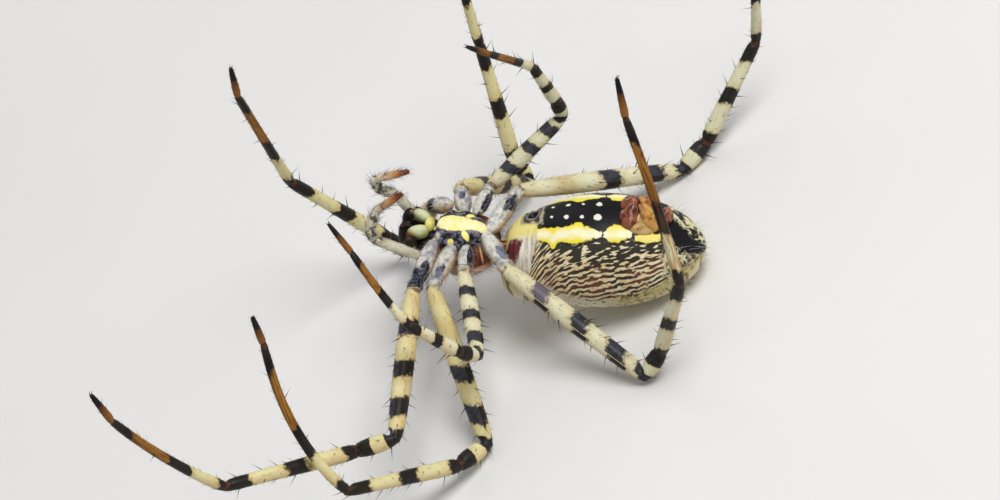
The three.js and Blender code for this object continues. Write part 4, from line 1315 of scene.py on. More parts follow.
# ---- Abdomen ----
ABDOMEN_LENGTH, ABDOMEN_HALF_WIDTH, ABDOMEN_HALF_HEIGHT = 13.9, 4.0, 3.85
ABDOMEN_OUTLINE = (
    # share of the length from the rear, of the half width of the underside and of the back
    (0.0, 0.0, 0.0), (0.012, 0.2, 0.2), (0.04, 0.37, 0.37), (0.1, 0.58, 0.58), (0.19, 0.77, 0.77),
    (0.28, 0.89, 0.89), (0.38, 0.965, 0.965), (0.5, 1.0, 1.0), (0.6, 0.98, 1.0), (0.69, 0.91, 0.99),
    (0.77, 0.81, 0.97), (0.84, 0.7, 0.94), (0.9, 0.59, 0.89), (0.95, 0.46, 0.79), (0.985, 0.29, 0.6),
    (1.0, 0.0, 0.0),
)
ABDOMEN_ROWS, ABDOMEN_SIDES = 200, 160
ABDOMEN_JUT, BACK_DEPTH, WIDEST_SHARE = 0.45, 0.98, 0.42
THINNEST = 0.01
EPIGYNE = {"ahead": 4.87, "left": 0.92, "radius": 0.34, "depth": 0.4, "rim": 0.12}
SWELLING = {"behind": 0.62, "narrow": 0.55, "rise": 0.16, "width": 0.24}
MUSCLE_PITS, PIT_ARC, PIT_DEPTH, PIT_WIDTH = ((3.2, 48), (1.1, 50), (-1.2, 50)), 3.6, 0.1, 0.22
COVER = {"ahead": 5.75, "angle": 62, "rise": 0.12, "short": 1.1, "arc": 1.9, "width": 0.75}
FOLD_LINE = {"ahead": 4.95, "bow": 0.25, "depth": 0.07, "width": 0.12}
FOLD_HEIGHT, CREASE_HEIGHT = 0.012, 0.03


def table_curve(table, count):
    """A smooth outline through each column of a table, as rows without the closed ends."""
    at = np.linspace(0, len(table) - 1, count)[1:-1, None]
    return [smooth(at, np.arange(len(table)), column) for column in np.array(table, float).T]


def abdomen_rings():
    """Places ahead, left and up of the abdomen's skin, in millimetres."""
    shares, widths, back_widths = table_curve(ABDOMEN_OUTLINE, ABDOMEN_ROWS)
    widths, back_widths = np.maximum(widths, THINNEST), np.maximum(back_widths, THINNEST)
    angles = round_angles(ABDOMEN_SIDES)[None, :]
    rise = np.cos(angles)
    back = eased(-rise, -0.6, 0.6)
    ahead = (shares - 0.5) * ABDOMEN_LENGTH + ABDOMEN_JUT * eased(shares, 0.8, 1) * back
    top, bottom = ABDOMEN_HALF_HEIGHT * widths, -BACK_DEPTH * ABDOMEN_HALF_HEIGHT * widths
    middle = bottom + (top - bottom) * WIDEST_SHARE
    low = bottom * (1 - back) - BACK_DEPTH * ABDOMEN_HALF_HEIGHT * back_widths * back
    up = middle + rise * np.where(rise > 0, top - middle, middle - low)
    left = ABDOMEN_HALF_WIDTH * (widths * (1 - back) + back_widths * back) * np.sin(angles)
    place = np.stack([ahead, left, up], -1)
    outward = unit(np.stack([ahead * 0.15, left, up], -1))
    turn = np.degrees(np.arctan2(left, up))
    across = np.radians(turn)
    lift = np.zeros(ahead.shape)
    under = up > 0

    # The plate in its pit, with a swelling behind it.
    from_plate = np.hypot(ahead - EPIGYNE["ahead"], left - EPIGYNE["left"])
    lift += under * EPIGYNE["rim"] * bump(from_plate, EPIGYNE["radius"] * 2.4)
    lift -= under * EPIGYNE["depth"] * eased(EPIGYNE["radius"] * 1.35 - from_plate, 0, EPIGYNE["radius"])
    behind = ahead - EPIGYNE["ahead"] + SWELLING["behind"]
    beside = (left - EPIGYNE["left"]) * SWELLING["narrow"]
    lift += under * SWELLING["rise"] * bump(np.hypot(behind, beside), SWELLING["width"])

    # The pits of the back, the covers of the lungs, the fold before the plate, and fine folds.
    for spot, angle in MUSCLE_PITS:
        for side in (1, -1):
            reach = np.hypot(ahead - spot, np.radians(turn - side * (180 - angle)) * PIT_ARC)
            lift -= PIT_DEPTH * bump(reach, PIT_WIDTH)
    for side in (1, -1):
        along = (ahead - COVER["ahead"]) * COVER["short"]
        beside = np.radians(turn - side * COVER["angle"]) * COVER["arc"]
        lift += COVER["rise"] * bump(np.hypot(along, beside), COVER["width"])
    fold = bump(ahead - FOLD_LINE["ahead"] + FOLD_LINE["bow"] * np.cos(across), FOLD_LINE["width"])
    lift -= FOLD_LINE["depth"] * fold * under
    folds = np.sin(ahead * 9 + 1.4 * np.sin(across * 5)) * FOLD_HEIGHT * eased(np.abs(turn), 60, 100)
    creases = np.sin(ahead * 15 + across * 1.5) * CREASE_HEIGHT
    lift += creases * eased(ahead, 4.6, 5.0) * eased(np.abs(turn), 12, 30) * eased(np.abs(turn), 100, 60)
    return place + outward * (lift + folds)[..., None]


def body_fields(places, density):
    """Place, lie and coat of a body skin whose hairs point towards the rear."""
    lie = np.broadcast_to(turn_to_world([-1.0, 0.0, 0.0]), places.shape)
    return {"place": places, "lie": lie, "coat": np.broadcast_to(density, places.shape[:2])}


class SpiderOperator:
    """What all the operators of the model share."""

    bl_options = {"REGISTER", "UNDO"}

    @property
    def settings(self):
        return bpy.context.scene.orb_weaver


class OW_OT_materials(SpiderOperator, bpy.types.Operator):
    """Builds the node groups and materials of the skin and the coat"""

    bl_idname = "orb_weaver.materials"
    bl_label = "Materials"

    def execute(self, context):
        build_groups()
        build_materials(self.settings.look)
        coat_tree()
        return {"FINISHED"}


class OW_OT_abdomen(SpiderOperator, bpy.types.Operator):
    """Builds the abdomen with its plate, folds, pits and down"""

    bl_idname = "orb_weaver.abdomen"
    bl_label = "Abdomen"

    def execute(self, context):
        places = abdomen_rings()
        ahead, left, up = np.moveaxis(places, -1, 0)
        fields = body_fields(places, 0.25 + 0.35 * eased(-up, -1.5, 1.0) + 0.4 * eased(-ahead, 1.5, 6.0))
        off_middle = np.abs(np.degrees(np.arctan2(left, up)) - REAR_MIDDLE)
        fields["fringe"] = eased(-ahead, 2.0, 5.5) * eased(off_middle, 25, 50)
        skin = Skin().add(over_floor(to_world(places)), fields).build(
            "abdomen_skin", "Abdomen Skin", "abdomen", ["abdomen"])
        grow(skin, "abdomen", "down")
        grow(skin, "abdomen", "fringe")
        return {"FINISHED"}


# ---- Spinnerets ----
SPINNERET_AHEAD, SPINNERET_LEFT = -2.65, 0.1
SPINNERET_SEAT = 0.86 * ABDOMEN_HALF_HEIGHT
SPINNERETS = (
    # ahead and aside of the foot, length, radius, and how orange the skin is
    (0.74, 0.64, 1.3, 0.74, 0.1), (-0.86, 0.66, 1.35, 0.68, 0.85), (-0.05, 0.3, 0.9, 0.3, 0.3),
)
SPINNERET_PROFILE = (
    (0, 0.86), (0.2, 1.0), (0.42, 1.02), (0.58, 0.92), (0.64, 0.78), (0.7, 0.74), (0.84, 0.62), (0.93, 0.46),
    (1, 0.26),
)
CONVERGE = 0.42  # how far from the middle their tips are, as a share of the feet
MOUND_PROFILE = ((0, 1.2), (0.3, 1.66), (0.55, 1.82), (0.75, 1.78), (0.9, 1.58), (1, 1.25))
MOUND_DEPTH, MOUND_HEIGHT, MOUND_ORANGE = 0.7, 0.75, 1.4
TUBERCLE_FOOT, TUBERCLE_WAY, TUBERCLE_RADIUS, TUBERCLE_ORANGE = (-1.62, 0, -0.25), (-0.3, 0, 0.95), 0.55, 0.2


def lathe(start, end, profile, size=MM):
    """A turned form from one point to another, from pairs of a share of its length and a radius."""
    shares, radii = np.array(profile, float).T
    return limb([Piece(start, end, shares, radii * size)], 0)


class OW_OT_spinnerets(SpiderOperator, bpy.types.Operator):
    """Builds the spinnerets on their mound, with the tubercle behind them"""

    bl_idname = "orb_weaver.spinnerets"
    bl_label = "Spinnerets"

    def execute(self, context):
        skin = Skin()

        def add(foot, tip, profile, radius, orange, tile):
            form = lathe(to_world(foot), to_world(tip), profile, radius * MM)
            fields = form.fields(eased(form.stations, 0.3, 0.5))
            fields["place"][..., 2] = orange
            skin.add(form.rings, fields, tile)

        middle = np.array([SPINNERET_AHEAD, SPINNERET_LEFT, SPINNERET_SEAT])
        add(middle - [0, 0, MOUND_DEPTH], middle + [0, 0, MOUND_HEIGHT], MOUND_PROFILE, 1.0, MOUND_ORANGE,
            (0, 0, 0.4, 0.4))
        for row, (ahead, aside, length, radius, orange) in enumerate(SPINNERETS):
            for column, side in enumerate((1, -1)):
                foot = middle + [ahead, aside * side, 0.0]
                tip = middle + [ahead * CONVERGE, aside * side * CONVERGE, length + 0.15]
                tile = (0.42 + 0.28 * column, 0.33 * row, 0.26, 0.3)
                add(foot, tip, SPINNERET_PROFILE, radius, orange, tile)
        foot = middle + TUBERCLE_FOOT
        add(foot, foot + TUBERCLE_WAY, SPINNERET_PROFILE, TUBERCLE_RADIUS, TUBERCLE_ORANGE,
            (0, 0.5, 0.4, 0.4))
        made = skin.build("spinneret_skin", "Spinneret Skin", "spinneret", ["spinnerets"])
        grow(made, "spinneret", "down")
        return {"FINISHED"}


# ---- Front body ----
CARAPACE_REAR, CARAPACE_FRONT = 7.35, 13.3
CARAPACE_HALF_WIDTH, CARAPACE_TOP, CARAPACE_RIM = 2.5, -1.2, 0.5
CARAPACE_OUTLINE = (
    # share of the length from the rear, of the half width, of the height
    (0, 0, 0.3), (0.03, 0.42, 0.55), (0.12, 0.74, 0.8), (0.28, 0.97, 0.96), (0.42, 1, 1), (0.56, 0.9, 0.97),
    (0.7, 0.68, 0.95), (0.84, 0.55, 0.95), (0.95, 0.47, 0.82), (0.99, 0.36, 0.6), (1, 0, 0.4),
)
STERNUM_REAR, STERNUM_FRONT, STERNUM_HALF_WIDTH, STERNUM_BASE, STERNUM_FACE = 7.95, 11.75, 1.6, 0.8, 2.3
STERNUM_OUTLINE = (
    (0, 0, 0.5), (0.04, 0.28, 0.8), (0.2, 0.62, 0.97), (0.4, 0.9, 1), (0.62, 1, 1), (0.82, 0.9, 0.97),
    (0.95, 0.66, 0.86), (0.99, 0.45, 0.7), (1, 0, 0.5),
)
FRONT_ROWS, FRONT_SIDES, FRONT_AXIS_UP = 170, 200, 0.2
FLANK_HALF_WIDTH, FLANK_TOP, FLANK_LOW = 2.2, 1.45, -0.6
COXA_SPACING, SECOND_COXA_AHEAD, PLATE_LOBES = 1.27, 10.4, 0.07
MIDDLE_PIT = {"ahead": 9.4, "long": 1.5, "wide": 0.5, "depth": 0.16}
HEAD_GROOVE = {"ahead": 11.1, "slant": 0.8, "width": 0.2, "depth": 0.12, "half": 1.8}
FURROW_COUNT, FURROW_DEPTH, FURROW_REACH = 9, 0.045, 2.4
WAIST_PROFILE = ((0, 0.42), (0.3, 0.36), (0.6, 0.34), (1, 0.45))
WAIST_START, WAIST_END = (8.6, 0, 0.25), (6.3, 0, 0.2)
HEAD_CORE = np.array([12.2, 0.0, -0.3])
EYES = (
    # way from the head's core ahead, aside and up, and size: the middle pairs, then the outer ones
    (1.05, 0.2, -0.02, 1.0), (0.95, 0.3, -0.58, 1.0), (0.85, 0.78, -0.1, 0.8), (0.68, 0.88, -0.44, 0.8),
)


def ray_to_oval(angles, half, top, bottom):
    """How far a ray from the front body's axis reaches on an oval, 0 where it misses."""
    middle = bottom + (top - bottom) * 0.5
    rise = (top - bottom) / 2
    x, z = np.sin(angles), np.cos(angles)
    drop = FRONT_AXIS_UP - middle
    half, rise = np.maximum(half, 1e-4), np.maximum(rise, 1e-4)
    a = (x / half) ** 2 + (z / rise) ** 2
    b = 2 * z * drop / rise**2
    c = (drop / rise) ** 2 - 1
    inside = b * b - 4 * a * c
    reach = (-b + np.sqrt(np.maximum(inside, 0))) / (2 * a)
    return np.where((inside > 0) & (reach > 0), reach, 0)


def eye_spots(places):
    """Where the eyes sit: the skin's point that each one's way meets, that way and the eye's size."""
    ways = unit(places - HEAD_CORE).reshape(-1, 3)
    found = []
    for ahead, aside, up, size in EYES:
        for side in (1, -1):
            way = unit([ahead, aside * side, up])
            found.append((places.reshape(-1, 3)[np.argmax(ways @ way)], way, size))
    return found


def front_rings():
    """Places of the front body's skin: the widest of carapace, flank and breastplate."""
    shares, widths, heights = table_curve(CARAPACE_OUTLINE, FRONT_ROWS)
    widths = np.maximum(widths, THINNEST)
    ahead = CARAPACE_REAR + shares * (CARAPACE_FRONT - CARAPACE_REAR)
    angles = round_angles(FRONT_SIDES)[None, :]
    top = CARAPACE_RIM + (CARAPACE_TOP - CARAPACE_RIM) * heights
    carapace = ray_to_oval(angles, CARAPACE_HALF_WIDTH * widths, CARAPACE_RIM, top)
    full = np.minimum(widths * 1.6, 1)
    half = FLANK_HALF_WIDTH * np.minimum(widths * 1.05, 1)
    flank = ray_to_oval(angles, half, FLANK_TOP * full, FLANK_LOW * full)
    share = (ahead - STERNUM_REAR) / (STERNUM_FRONT - STERNUM_REAR)
    index, columns = np.arange(len(STERNUM_OUTLINE)), np.array(STERNUM_OUTLINE).T
    at = np.interp(share, columns[0], index)
    half = np.where((share > 0) & (share < 1), smooth(at, index, columns[1]), 0)
    lobes = 1 + PLATE_LOBES * np.cos((ahead - SECOND_COXA_AHEAD) * 2 * math.pi / COXA_SPACING + math.pi)
    top = STERNUM_BASE + (STERNUM_FACE - STERNUM_BASE) * smooth(at, index, columns[2])
    plate = ray_to_oval(angles, STERNUM_HALF_WIDTH * half * lobes, top, STERNUM_BASE)
    plate = np.where(half > 0.02, plate, 0)
    reach = np.maximum(np.maximum(carapace, flank), plate)
    for _ in range(2):
        reach = (np.roll(reach, 1, 1) + 2 * reach + np.roll(reach, -1, 1)) / 4
        reach[1:-1] = (reach[:-2] + 2 * reach[1:-1] + reach[2:]) / 4
    left, up = reach * np.sin(angles), FRONT_AXIS_UP + reach * np.cos(angles)
    place = np.stack([np.repeat(ahead, FRONT_SIDES, 1), left, up], -1)

    # The carapace's middle pit, the groove behind the head and the furrows, and the eyes' mounds.
    backward = eased(-np.cos(angles), 0.1, 0.6)
    off_pit = ahead - MIDDLE_PIT["ahead"]
    pit = MIDDLE_PIT["depth"] * bump(np.hypot(off_pit / MIDDLE_PIT["long"], left / MIDDLE_PIT["wide"]), 0.4)
    slanted = bump(ahead - HEAD_GROOVE["ahead"] + HEAD_GROOVE["slant"] * np.abs(left), HEAD_GROOVE["width"])
    groove = HEAD_GROOVE["depth"] * slanted * (np.abs(left) < HEAD_GROOVE["half"])
    furrows = FURROW_DEPTH * np.maximum(0, np.cos(np.arctan2(left, off_pit) * FURROW_COUNT))
    furrows = furrows * eased(np.hypot(left, off_pit), 0.4, 1.0)
    furrows = furrows * eased(FURROW_REACH - np.hypot(left, off_pit * 0.8), 0, 0.8)
    lift = -(pit + groove + furrows) * backward
    for spot, _, _ in eye_spots(place):
        lift += 0.07 * bump(np.linalg.norm(place - spot, axis=-1), 0.2)
    return place + unit(np.stack([np.zeros_like(left), left, up - FRONT_AXIS_UP], -1)) * lift[..., None]


class OW_OT_front_body(SpiderOperator, bpy.types.Operator):
    """Builds the carapace, flanks and breastplate as one skin, its down and the waist"""

    bl_idname = "orb_weaver.front_body"
    bl_label = "Front Body"

    def execute(self, context):
        places = front_rings()
        ahead, left, up = np.moveaxis(places, -1, 0)
        tuft = bump(np.hypot(ahead - FRONT_TUFT[0], np.abs(left) - FRONT_TUFT[1]), 0.32) * (up > 0.6)
        bare = sum(bump(np.linalg.norm(places - spot, axis=-1), 0.15) for spot, _, _ in eye_spots(places))
        back = 0.03 + 0.97 * eased(-up, -0.25, 0.4)
        fields = body_fields(places, np.maximum(back, tuft) * eased(bare, 0.5, 0.2))
        fields["fringe"] = eased(up, -0.9, -0.4) * eased(-up, -0.5, 0.1) * (ahead < 11.5)
        fields["bristly"] = eased(ahead, 11.6, 12.2) * eased(up, 0.2, 0.6)
        skin = Skin().add(front_to_world(places), fields)
        skin = skin.build("front_skin", "Front Skin", "carapace", ["carapace", "sternum"])
        grow(skin, "front", "down")
        grow(skin, "front", "fringe")
        grow(skin, "cheek", "bristles", SEED + 50)
        waist = lathe(front_to_world(WAIST_START), to_world(WAIST_END), WAIST_PROFILE)
        Skin().add(waist.rings, waist.fields(waist.stations * 0)).build("waist", "Spinneret Skin", "carapace")
        return {"FINISHED"}


# ---- Mouthparts ----
LABIUM = {"centre": (12.2, 0, 1.85), "halves": (0.33, 0.54, 0.38)}
ENDITE = {"centre": (12.92, 0.72, 1.7), "halves": (0.76, 0.46, 0.52), "splay": 0.32}
OUTER_ENDITE = {"centre": (13.35, 1.3, 1.3), "halves": (0.42, 0.34, 0.46), "splay": 0.3}
CHELICERA = {"centre": (13.88, 0.58, 0.95), "halves": (0.5, 0.48, 1.3)}
FANG = {"root": (0.1, -0.02, -0.16), "way": (-0.35, 0.55, 0.55), "towards": (-0.6, -1.0, -0.15),
        "length": 0.95, "radius": 0.13, "turn": 2.1}
LOBE_SIDES, LOBE_POWER = 40, 2 / 2.4  # how full a lobe is: 1 is an egg and 0 a box
LOBE_TAPER, LOBE_NARROW = 0.18, 0.22
CONE_SIDES, CONE_ROWS, CONE_TAPER, CONE_TIP = 12, 14, 0.8, 0.04


def lobe_rings(centre, halves, side, lean=0.0, splay=0.0, rows=40):
    """Places of a rounded lobe. Its far end leans to the middle, and its front is splayed out."""
    rise = np.linspace(-math.pi / 2, math.pi / 2, rows + 2)[1:-1][:, None]
    turn = round_angles(LOBE_SIDES)[None, :]

    def rounded(value):
        return np.sign(value) * np.abs(value) ** LOBE_POWER

    ahead = rounded(np.cos(rise)) * rounded(np.cos(turn))
    left = rounded(np.cos(rise)) * rounded(np.sin(turn))
    up = rounded(np.sin(rise)) * np.ones_like(turn)
    ahead = ahead * (1 - LOBE_TAPER * up)
    left = left * (1 - LOBE_NARROW * up) - lean * up + splay * ahead * halves[0] / halves[1]
    place = np.stack([ahead * halves[0], left * halves[1] * side, up * halves[2]], -1)
    place = place + np.array([centre[0], centre[1] * side, centre[2]])
    return place[:, ::-1] if side > 0 else place


def curved_cone(start, heading, towards, length, radius, turn):
    """Rings of a horn that curves from its heading towards a side, in metres."""
    heading, towards = unit(heading), unit(towards - (towards @ unit(heading)) * unit(heading))
    across = np.cross(heading, towards)
    rings, point = [], np.array(start, float)
    angles = round_angles(CONE_SIDES)
    for share in np.arange(CONE_ROWS) / (CONE_ROWS - 1):
        bend = turn * share
        forward = heading * math.cos(bend) + towards * math.sin(bend)
        sideways = -heading * math.sin(bend) + towards * math.cos(bend)
        size = radius * (1 - share) ** CONE_TAPER + radius * CONE_TIP
        rings.append(point + size * (np.outer(np.cos(angles), sideways) + np.outer(np.sin(angles), -across)))
        point = point + forward * length / (CONE_ROWS - 1)
    return np.array(rings)[:, ::-1]


def place_fields(rings):
    """The fields of a hard piece: its place is the share of its length."""
    shares = np.repeat(np.linspace(0, 1, len(rings))[:, None], rings.shape[1], 1)
    return {"place": np.stack([shares, shares * 0, shares * 0], -1)}


class OW_OT_mouth(SpiderOperator, bpy.types.Operator):
    """Builds the labium, the endites and the jaws with their fangs"""

    bl_idname = "orb_weaver.mouth"
    bl_label = "Mouthparts"

    def execute(self, context):
        labium = lobe_rings(**LABIUM, side=1)
        skin = Skin().add(front_to_world(labium), body_fields(labium, 0.5))
        skin = skin.build("labium_skin", "Labium Skin", "mouth", ["labium"])
        grow(skin, "labium", "fringe")
        for label, side in zip(SIDES, (1, -1)):
            self.add_endite(label, side)
            self.add_jaw(label, side)
        return {"FINISHED"}

    def add_endite(self, label, side):
        skin = Skin()
        for form, tile in ((ENDITE, (0, 0, 0.48, 1)), (OUTER_ENDITE, (0.5, 0, 0.48, 1))):
            lobe = lobe_rings(**form, side=side, lean=0.1 * (form is ENDITE))
            density = 0.12 + 0.88 * eased(lobe[..., 0], 12.9, 13.4)
            skin.add(front_to_world(lobe), body_fields(lobe, density), tile)
        skin = skin.build(f"endite_{label}_skin", "Mouth Skin", "mouth", [f"endite_{label}"])
        grow(skin, f"endite_{label}", "fringe")

    def add_jaw(self, label, side):
        jaw = lobe_rings(**CHELICERA, side=side, lean=0.16, rows=56)
        skin = Skin().add(front_to_world(jaw), body_fields(jaw, 0.6))
        skin = skin.build(f"chelicera_{label}_skin", "Jaw Cuticle", "jaw", [f"chelicera_{label}"])
        grow(skin, f"chelicera_{label}", "bristles")
        grow(skin, f"chelicera_{label}", "down", SEED + 40)
        (ahead, aside, up), halves = CHELICERA["centre"], CHELICERA["halves"]
        forth, inwards, down = FANG["root"]
        root = front_to_world([ahead + forth, (aside + inwards) * side, up + halves[2] + down])
        way, towards = (front_turn_to_world(np.array(FANG[key]) * [1, side, 1]) for key in ("way", "towards"))
        fang = curved_cone(root, way, towards, FANG["length"] * MM, FANG["radius"] * MM, FANG["turn"])
        Skin().add(fang, place_fields(fang)).build(f"fang_{label}", "Fang Cuticle", "claw")


# ---- Eyes ----
LENS_ROWS, LENS_SIDES, LENS_TURNS = 16, 28, (-1.35, 1.4)
LENS_FOOT, LENS_DEPTH, LENS_RISE = 1.06, 0.95, 0.25


class OW_OT_eyes(SpiderOperator, bpy.types.Operator):
    """Builds the eight eyes in their two rows"""

    bl_idname = "orb_weaver.eyes"
    bl_label = "Eyes"

    def execute(self, context):
        skin = Skin()
        radius = self.settings.coat.eye_radius
        for index, (spot, way, size) in enumerate(eye_spots(front_rings())):
            rings = self.lens(front_to_world(spot), front_turn_to_world(way), radius * size)
            skin.add(rings, place_fields(rings), (0.12 * index, 0, 0.11, 1))
        skin.build("eyes", "Eye Lens", "claw")
        return {"FINISHED"}

    def lens(self, centre, outward, radius):
        """Rings of one eye: a dome that bulges from a slightly wider foot."""
        out = unit(outward)
        first = unit(np.cross(out, [0, 1, 0.1]))
        second = np.cross(out, first)
        angles = round_angles(LENS_SIDES)
        spokes = np.outer(np.cos(angles), first) + np.outer(np.sin(angles), second)
        rings = []
        for turn in np.linspace(*LENS_TURNS, LENS_ROWS):
            wide = radius * math.cos(turn) * (LENS_FOOT if turn < 0 else 1.0)
            rings.append(centre + spokes * wide + out * radius * (LENS_DEPTH * math.sin(turn) + LENS_RISE))
        return np.array(rings)


# ---- Palps ----
PALP_BASES = {"left": (12.99, 2.06, 0.22), "right": (12.95, -1.0, 0.42)}
PALP_LENGTHS, PALP_RADII = (3.4, 1.1, 1.5, 2.5), (0.34, 0.36, 0.36, 0.33, 0.16)
PALP_SHARES, PALP_FOOT, PALP_SWELL = (0, 0.25, 0.6, 1), 0.94, 0.03 * MM
PALP_TURNS = {
    "left": ((155, 81), (174, 36), (-39, 72), (15, -17)),
    "right": ((-177, 54), (7, 81), (37, 38), (6, 18)),
}


def aimed(heading, pitch):
    """The direction with a heading from +X and a pitch from the floor, in degrees."""
    heading, pitch = math.radians(heading), math.radians(pitch)
    level = math.cos(pitch)
    return np.array([level * math.cos(heading), level * math.sin(heading), math.sin(pitch)])


class OW_OT_palps(SpiderOperator, bpy.types.Operator):
    """Builds the two feelers beside the mouth"""

    bl_idname = "orb_weaver.palps"
    bl_label = "Palps"

    def execute(self, context):
        for label in SIDES:
            point = to_world(PALP_BASES[label])
            pieces = []
            for index, length in enumerate(PALP_LENGTHS):
                end = point + aimed(*PALP_TURNS[label][index]) * length * MM
                first, last = (r * MM for r in PALP_RADII[index:index + 2])
                swell = (first + last) / 2 + PALP_SWELL
                pieces.append(Piece(point, end, PALP_SHARES, (first * PALP_FOOT, swell, swell, last)))
                point = end
            form = limb(pieces, 0, sides=20, step=0.1 * MM)
            skin = Skin().add(form.rings, form.fields(0.25 + 0.75 * eased(form.stations, 0.8, 1.4)))
            skin = skin.build(f"palp_{label}_skin", "Palp Skin", "palp", [f"palp_{label}"])
            grow(skin, f"palp_{label}", "bristles")
            grow(skin, f"palp_{label}", "down")
        return {"FINISHED"}


# ---- Legs ----
CLAWS = ((0.05, 0.03, 1.0), (-0.05, 0.03, 1.0), (0.0, -0.02, 0.62))  # aside, back and size
CLAW_SUNK, CLAW_SPREAD, CLAW_RADIUS, CLAW_TURN = 0.1, 4, 0.045, 1.9


def spine_density(stations):
    """Where spines grow: not on the coxa, few at the femur's base and none on the tarsus."""
    rise = eased(stations, 1.12, 1.5)
    return rise * (1 - eased(stations, 4.7, 5.0)) * (1 - 0.5 * eased(stations, 4.0, 4.2))


class OW_OT_legs(SpiderOperator, bpy.types.Operator):
    """Builds the eight legs, each one skin with its down, spines and claws"""

    bl_idname = "orb_weaver.legs"
    bl_label = "Legs"

    def execute(self, context):
        coat = self.settings.coat
        for side in SIDES:
            for pair in range(1, 5):
                self.add_leg(side, pair, coat)
        return {"FINISHED"}

    def add_leg(self, side, pair, coat):
        name = f"leg_{side}_{pair}"
        pieces = leg_pieces(side, pair)
        form = limb(pieces, 1)
        stations = form.stations
        density = 0.35 + 0.65 * (1 - eased(stations, 0.9, 1.3)) + 0.2 * eased(stations, 3.8, 4.4)
        fields = form.fields(np.minimum(density, 1))
        fields["spines"] = form.by_ring(spine_density(stations))
        fields["silver"] = form.by_ring(1 - eased(stations, 0.9, 1.15))
        fields["leg"] = np.broadcast_to([pair, 1.0 if side == "left" else -1.0, 0.0], form.rings.shape)
        # The coxa's marks lie by the body's own directions: its underside and its rear.
        coxa = stations < 1
        for column, way in ((1, [0, 0, 1]), (2, [-1, 0, 0])):
            fields["place"][coxa, :, column] = form.outwards[coxa] @ turn_to_world(way)
        skin = Skin().add(over_floor(form.rings), fields)
        skin = skin.build(f"{name}_skin", "Leg Skin", "leg", [f"{name}_{piece}" for piece in PIECES])
        seed = SEED + pair + (10 if side == "left" else 0)
        grow(skin, name, "spines", seed, Spacing=coat.spine_spacing, Length=coat.spine_length,
             Thickness=coat.spine_thickness)
        grow(skin, name, "down", seed, Spacing=coat.down_spacing, Length=coat.down_length)
        grow(skin, name, "hairs", seed + 20, Spacing=coat.hair_spacing, Length=coat.hair_length)
        grow(skin, name, "silver", seed + 30)
        self.add_claws(name, pieces, coat)

    def add_claws(self, name, pieces, coat):
        """Two combed claws and a smaller hook between them, curved to the underside of the foot."""
        foot = pieces[-1]
        bend = bends(pieces)[-1]
        back = unit(np.cross(np.cross(foot.axis, -bend[3]), foot.axis))
        across = np.cross(foot.axis, back)
        skin = Skin()
        for row, (aside, raised, size) in enumerate(CLAWS):
            root = foot.end - foot.axis * CLAW_SUNK * MM + across * aside * MM + back * raised * MM
            horn = curved_cone(root, foot.axis + across * aside * CLAW_SPREAD, -back, coat.claw_length * size,
                               CLAW_RADIUS * MM * size, CLAW_TURN)
            skin.add(horn, place_fields(horn), (0.33 * row, 0, 0.3, 1))
        skin.build(f"{name}_claws", "Claw Cuticle", "claw")


# ---- Stage ----
TARGET = Vector((-9.06, -0.74, 7.32)) * MM
LIGHTS = (
    # name, turn and height in degrees, distance and size in metres, and power in watts
    ("Key", 85, 60, 0.5, 0.26, 2.2), ("Fill", -50, 35, 0.6, 0.5, 0.45), ("Rim", 200, 40, 0.6, 0.4, 0.45),
)
WORLD_COLOUR, WORLD_STRENGTH = (0.93, 0.95, 1.0, 1.0), 0.26
FLOOR_CORNERS, FLOOR_TONES, FLOOR_ROUGHNESS = 96, ((0.74, 0.73, 0.71), (0.79, 0.78, 0.76)), 0.7
SENSOR_WIDTH, CLIP_NEAR, CLIP_FAR = 36, 0.01, 10


def way_out(azimuth, elevation):
    """The direction from the target to a light or camera, turned from -Y and raised, in radians."""
    level = math.cos(elevation)
    return Vector((math.sin(azimuth) * level, -math.cos(azimuth) * level, math.sin(elevation)))


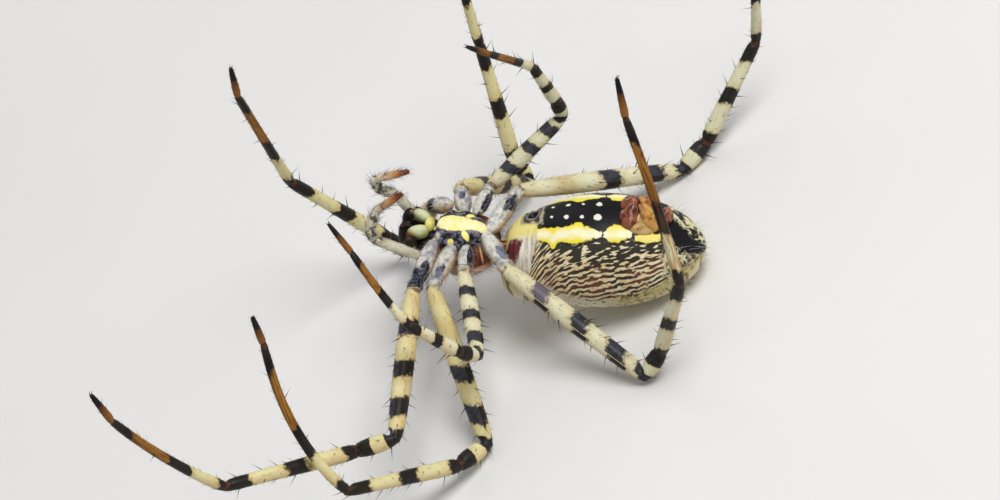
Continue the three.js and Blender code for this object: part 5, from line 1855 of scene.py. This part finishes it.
class OW_OT_stage(SpiderOperator, bpy.types.Operator):
    """Builds the pale floor, the soft lights and the camera"""

    bl_idname = "orb_weaver.stage"
    bl_label = "Stage"

    def execute(self, context):
        stage = self.settings.stage
        self.add_floor(stage.floor_radius)
        for light in LIGHTS:
            self.add_light(*light)
        world = bpy.data.worlds.new("Studio")
        world.use_nodes = True
        background = world.node_tree.nodes["Background"]
        background.inputs["Color"].default_value = WORLD_COLOUR
        background.inputs["Strength"].default_value = WORLD_STRENGTH
        context.scene.world = world
        context.scene.view_settings.view_transform = "Standard"
        self.add_camera(stage)
        return {"FINISHED"}

    def add_floor(self, radius):
        mesh = bpy.data.meshes.new("floor")
        turns = round_angles(FLOOR_CORNERS)
        rim = [(radius * math.cos(turn), radius * math.sin(turn), 0.0) for turn in turns]
        mesh.from_pydata(rim, [], [list(range(FLOOR_CORNERS))])
        material = bpy.data.materials.new("Pale Floor")
        material.use_nodes = True
        s = Shades(material.node_tree)
        tone = s.noise(s.out(s.node("ShaderNodeTexCoord"), "Object"), 40.0, 3.0)
        principled = material.node_tree.nodes["Principled BSDF"]
        plug(s.tree, principled.inputs["Base Color"], s.mix(tone, *FLOOR_TONES))
        principled.inputs["Roughness"].default_value = FLOOR_ROUGHNESS
        mesh.materials.append(material)
        floor = new_object("floor", mesh)

    def add_light(self, label, azimuth, elevation, distance, size, power):
        out = way_out(math.radians(azimuth), math.radians(elevation))
        data = bpy.data.lights.new(label, "AREA")
        data.shape, data.size, data.energy = "DISK", size, power
        light = new_object(label, data)
        light.location = TARGET + out * distance
        light.rotation_euler = (-out).to_track_quat("-Z", "Y").to_euler()

    def add_camera(self, stage):
        out, roll = way_out(stage.azimuth, stage.elevation), stage.roll
        level_right = Vector((math.cos(stage.azimuth), math.sin(stage.azimuth), 0))
        level_up = out.cross(level_right)
        right = level_right * math.cos(roll) - level_up * math.sin(roll)
        up = level_right * math.sin(roll) + level_up * math.cos(roll)
        data = bpy.data.cameras.new("Camera")
        data.sensor_width, data.lens = SENSOR_WIDTH, stage.lens
        data.clip_start, data.clip_end = CLIP_NEAR, CLIP_FAR
        camera = new_object("Camera", data)
        turned = Matrix((right, up, out)).transposed().to_4x4()
        camera.matrix_world = Matrix.Translation(TARGET + out * stage.distance) @ turned
        bpy.context.scene.camera = camera


# ---- Panel and registration ----
OPERATORS = (OW_OT_materials, OW_OT_abdomen, OW_OT_spinnerets, OW_OT_front_body, OW_OT_mouth, OW_OT_eyes,
             OW_OT_palps, OW_OT_legs, OW_OT_stage)


class OW_PT_model(bpy.types.Panel):
    """Lists the pieces of the model in the order in which they are built"""

    bl_label = "Orb Weaver"
    bl_idname = "OW_PT_model"
    bl_space_type = "VIEW_3D"
    bl_region_type = "UI"
    bl_category = "Orb Weaver"

    def draw(self, context):
        for operator in OPERATORS:
            self.layout.operator(operator.bl_idname)
        for group in ("look", "coat", "stage"):
            box = self.layout.box()
            settings = getattr(context.scene.orb_weaver, group)
            for key in settings.__annotations__:
                box.prop(settings, key)


CLASSES = (OrbWeaverLook, OrbWeaverCoat, OrbWeaverStage, OrbWeaverSettings, *OPERATORS, OW_PT_model)


def register():
    for cls in CLASSES:
        bpy.utils.register_class(cls)
    bpy.types.Scene.orb_weaver = bpy.props.PointerProperty(type=OrbWeaverSettings)


def unregister():
    del bpy.types.Scene.orb_weaver
    for cls in reversed(CLASSES):
        bpy.utils.unregister_class(cls)


def main():
    register()
    bpy.ops.orb_weaver.materials()
    bpy.ops.orb_weaver.abdomen()
    bpy.ops.orb_weaver.spinnerets()
    bpy.ops.orb_weaver.front_body()
    bpy.ops.orb_weaver.mouth()
    bpy.ops.orb_weaver.eyes()
    bpy.ops.orb_weaver.palps()
    bpy.ops.orb_weaver.legs()
    bpy.ops.orb_weaver.stage()


if __name__ == "__main__":
    main()
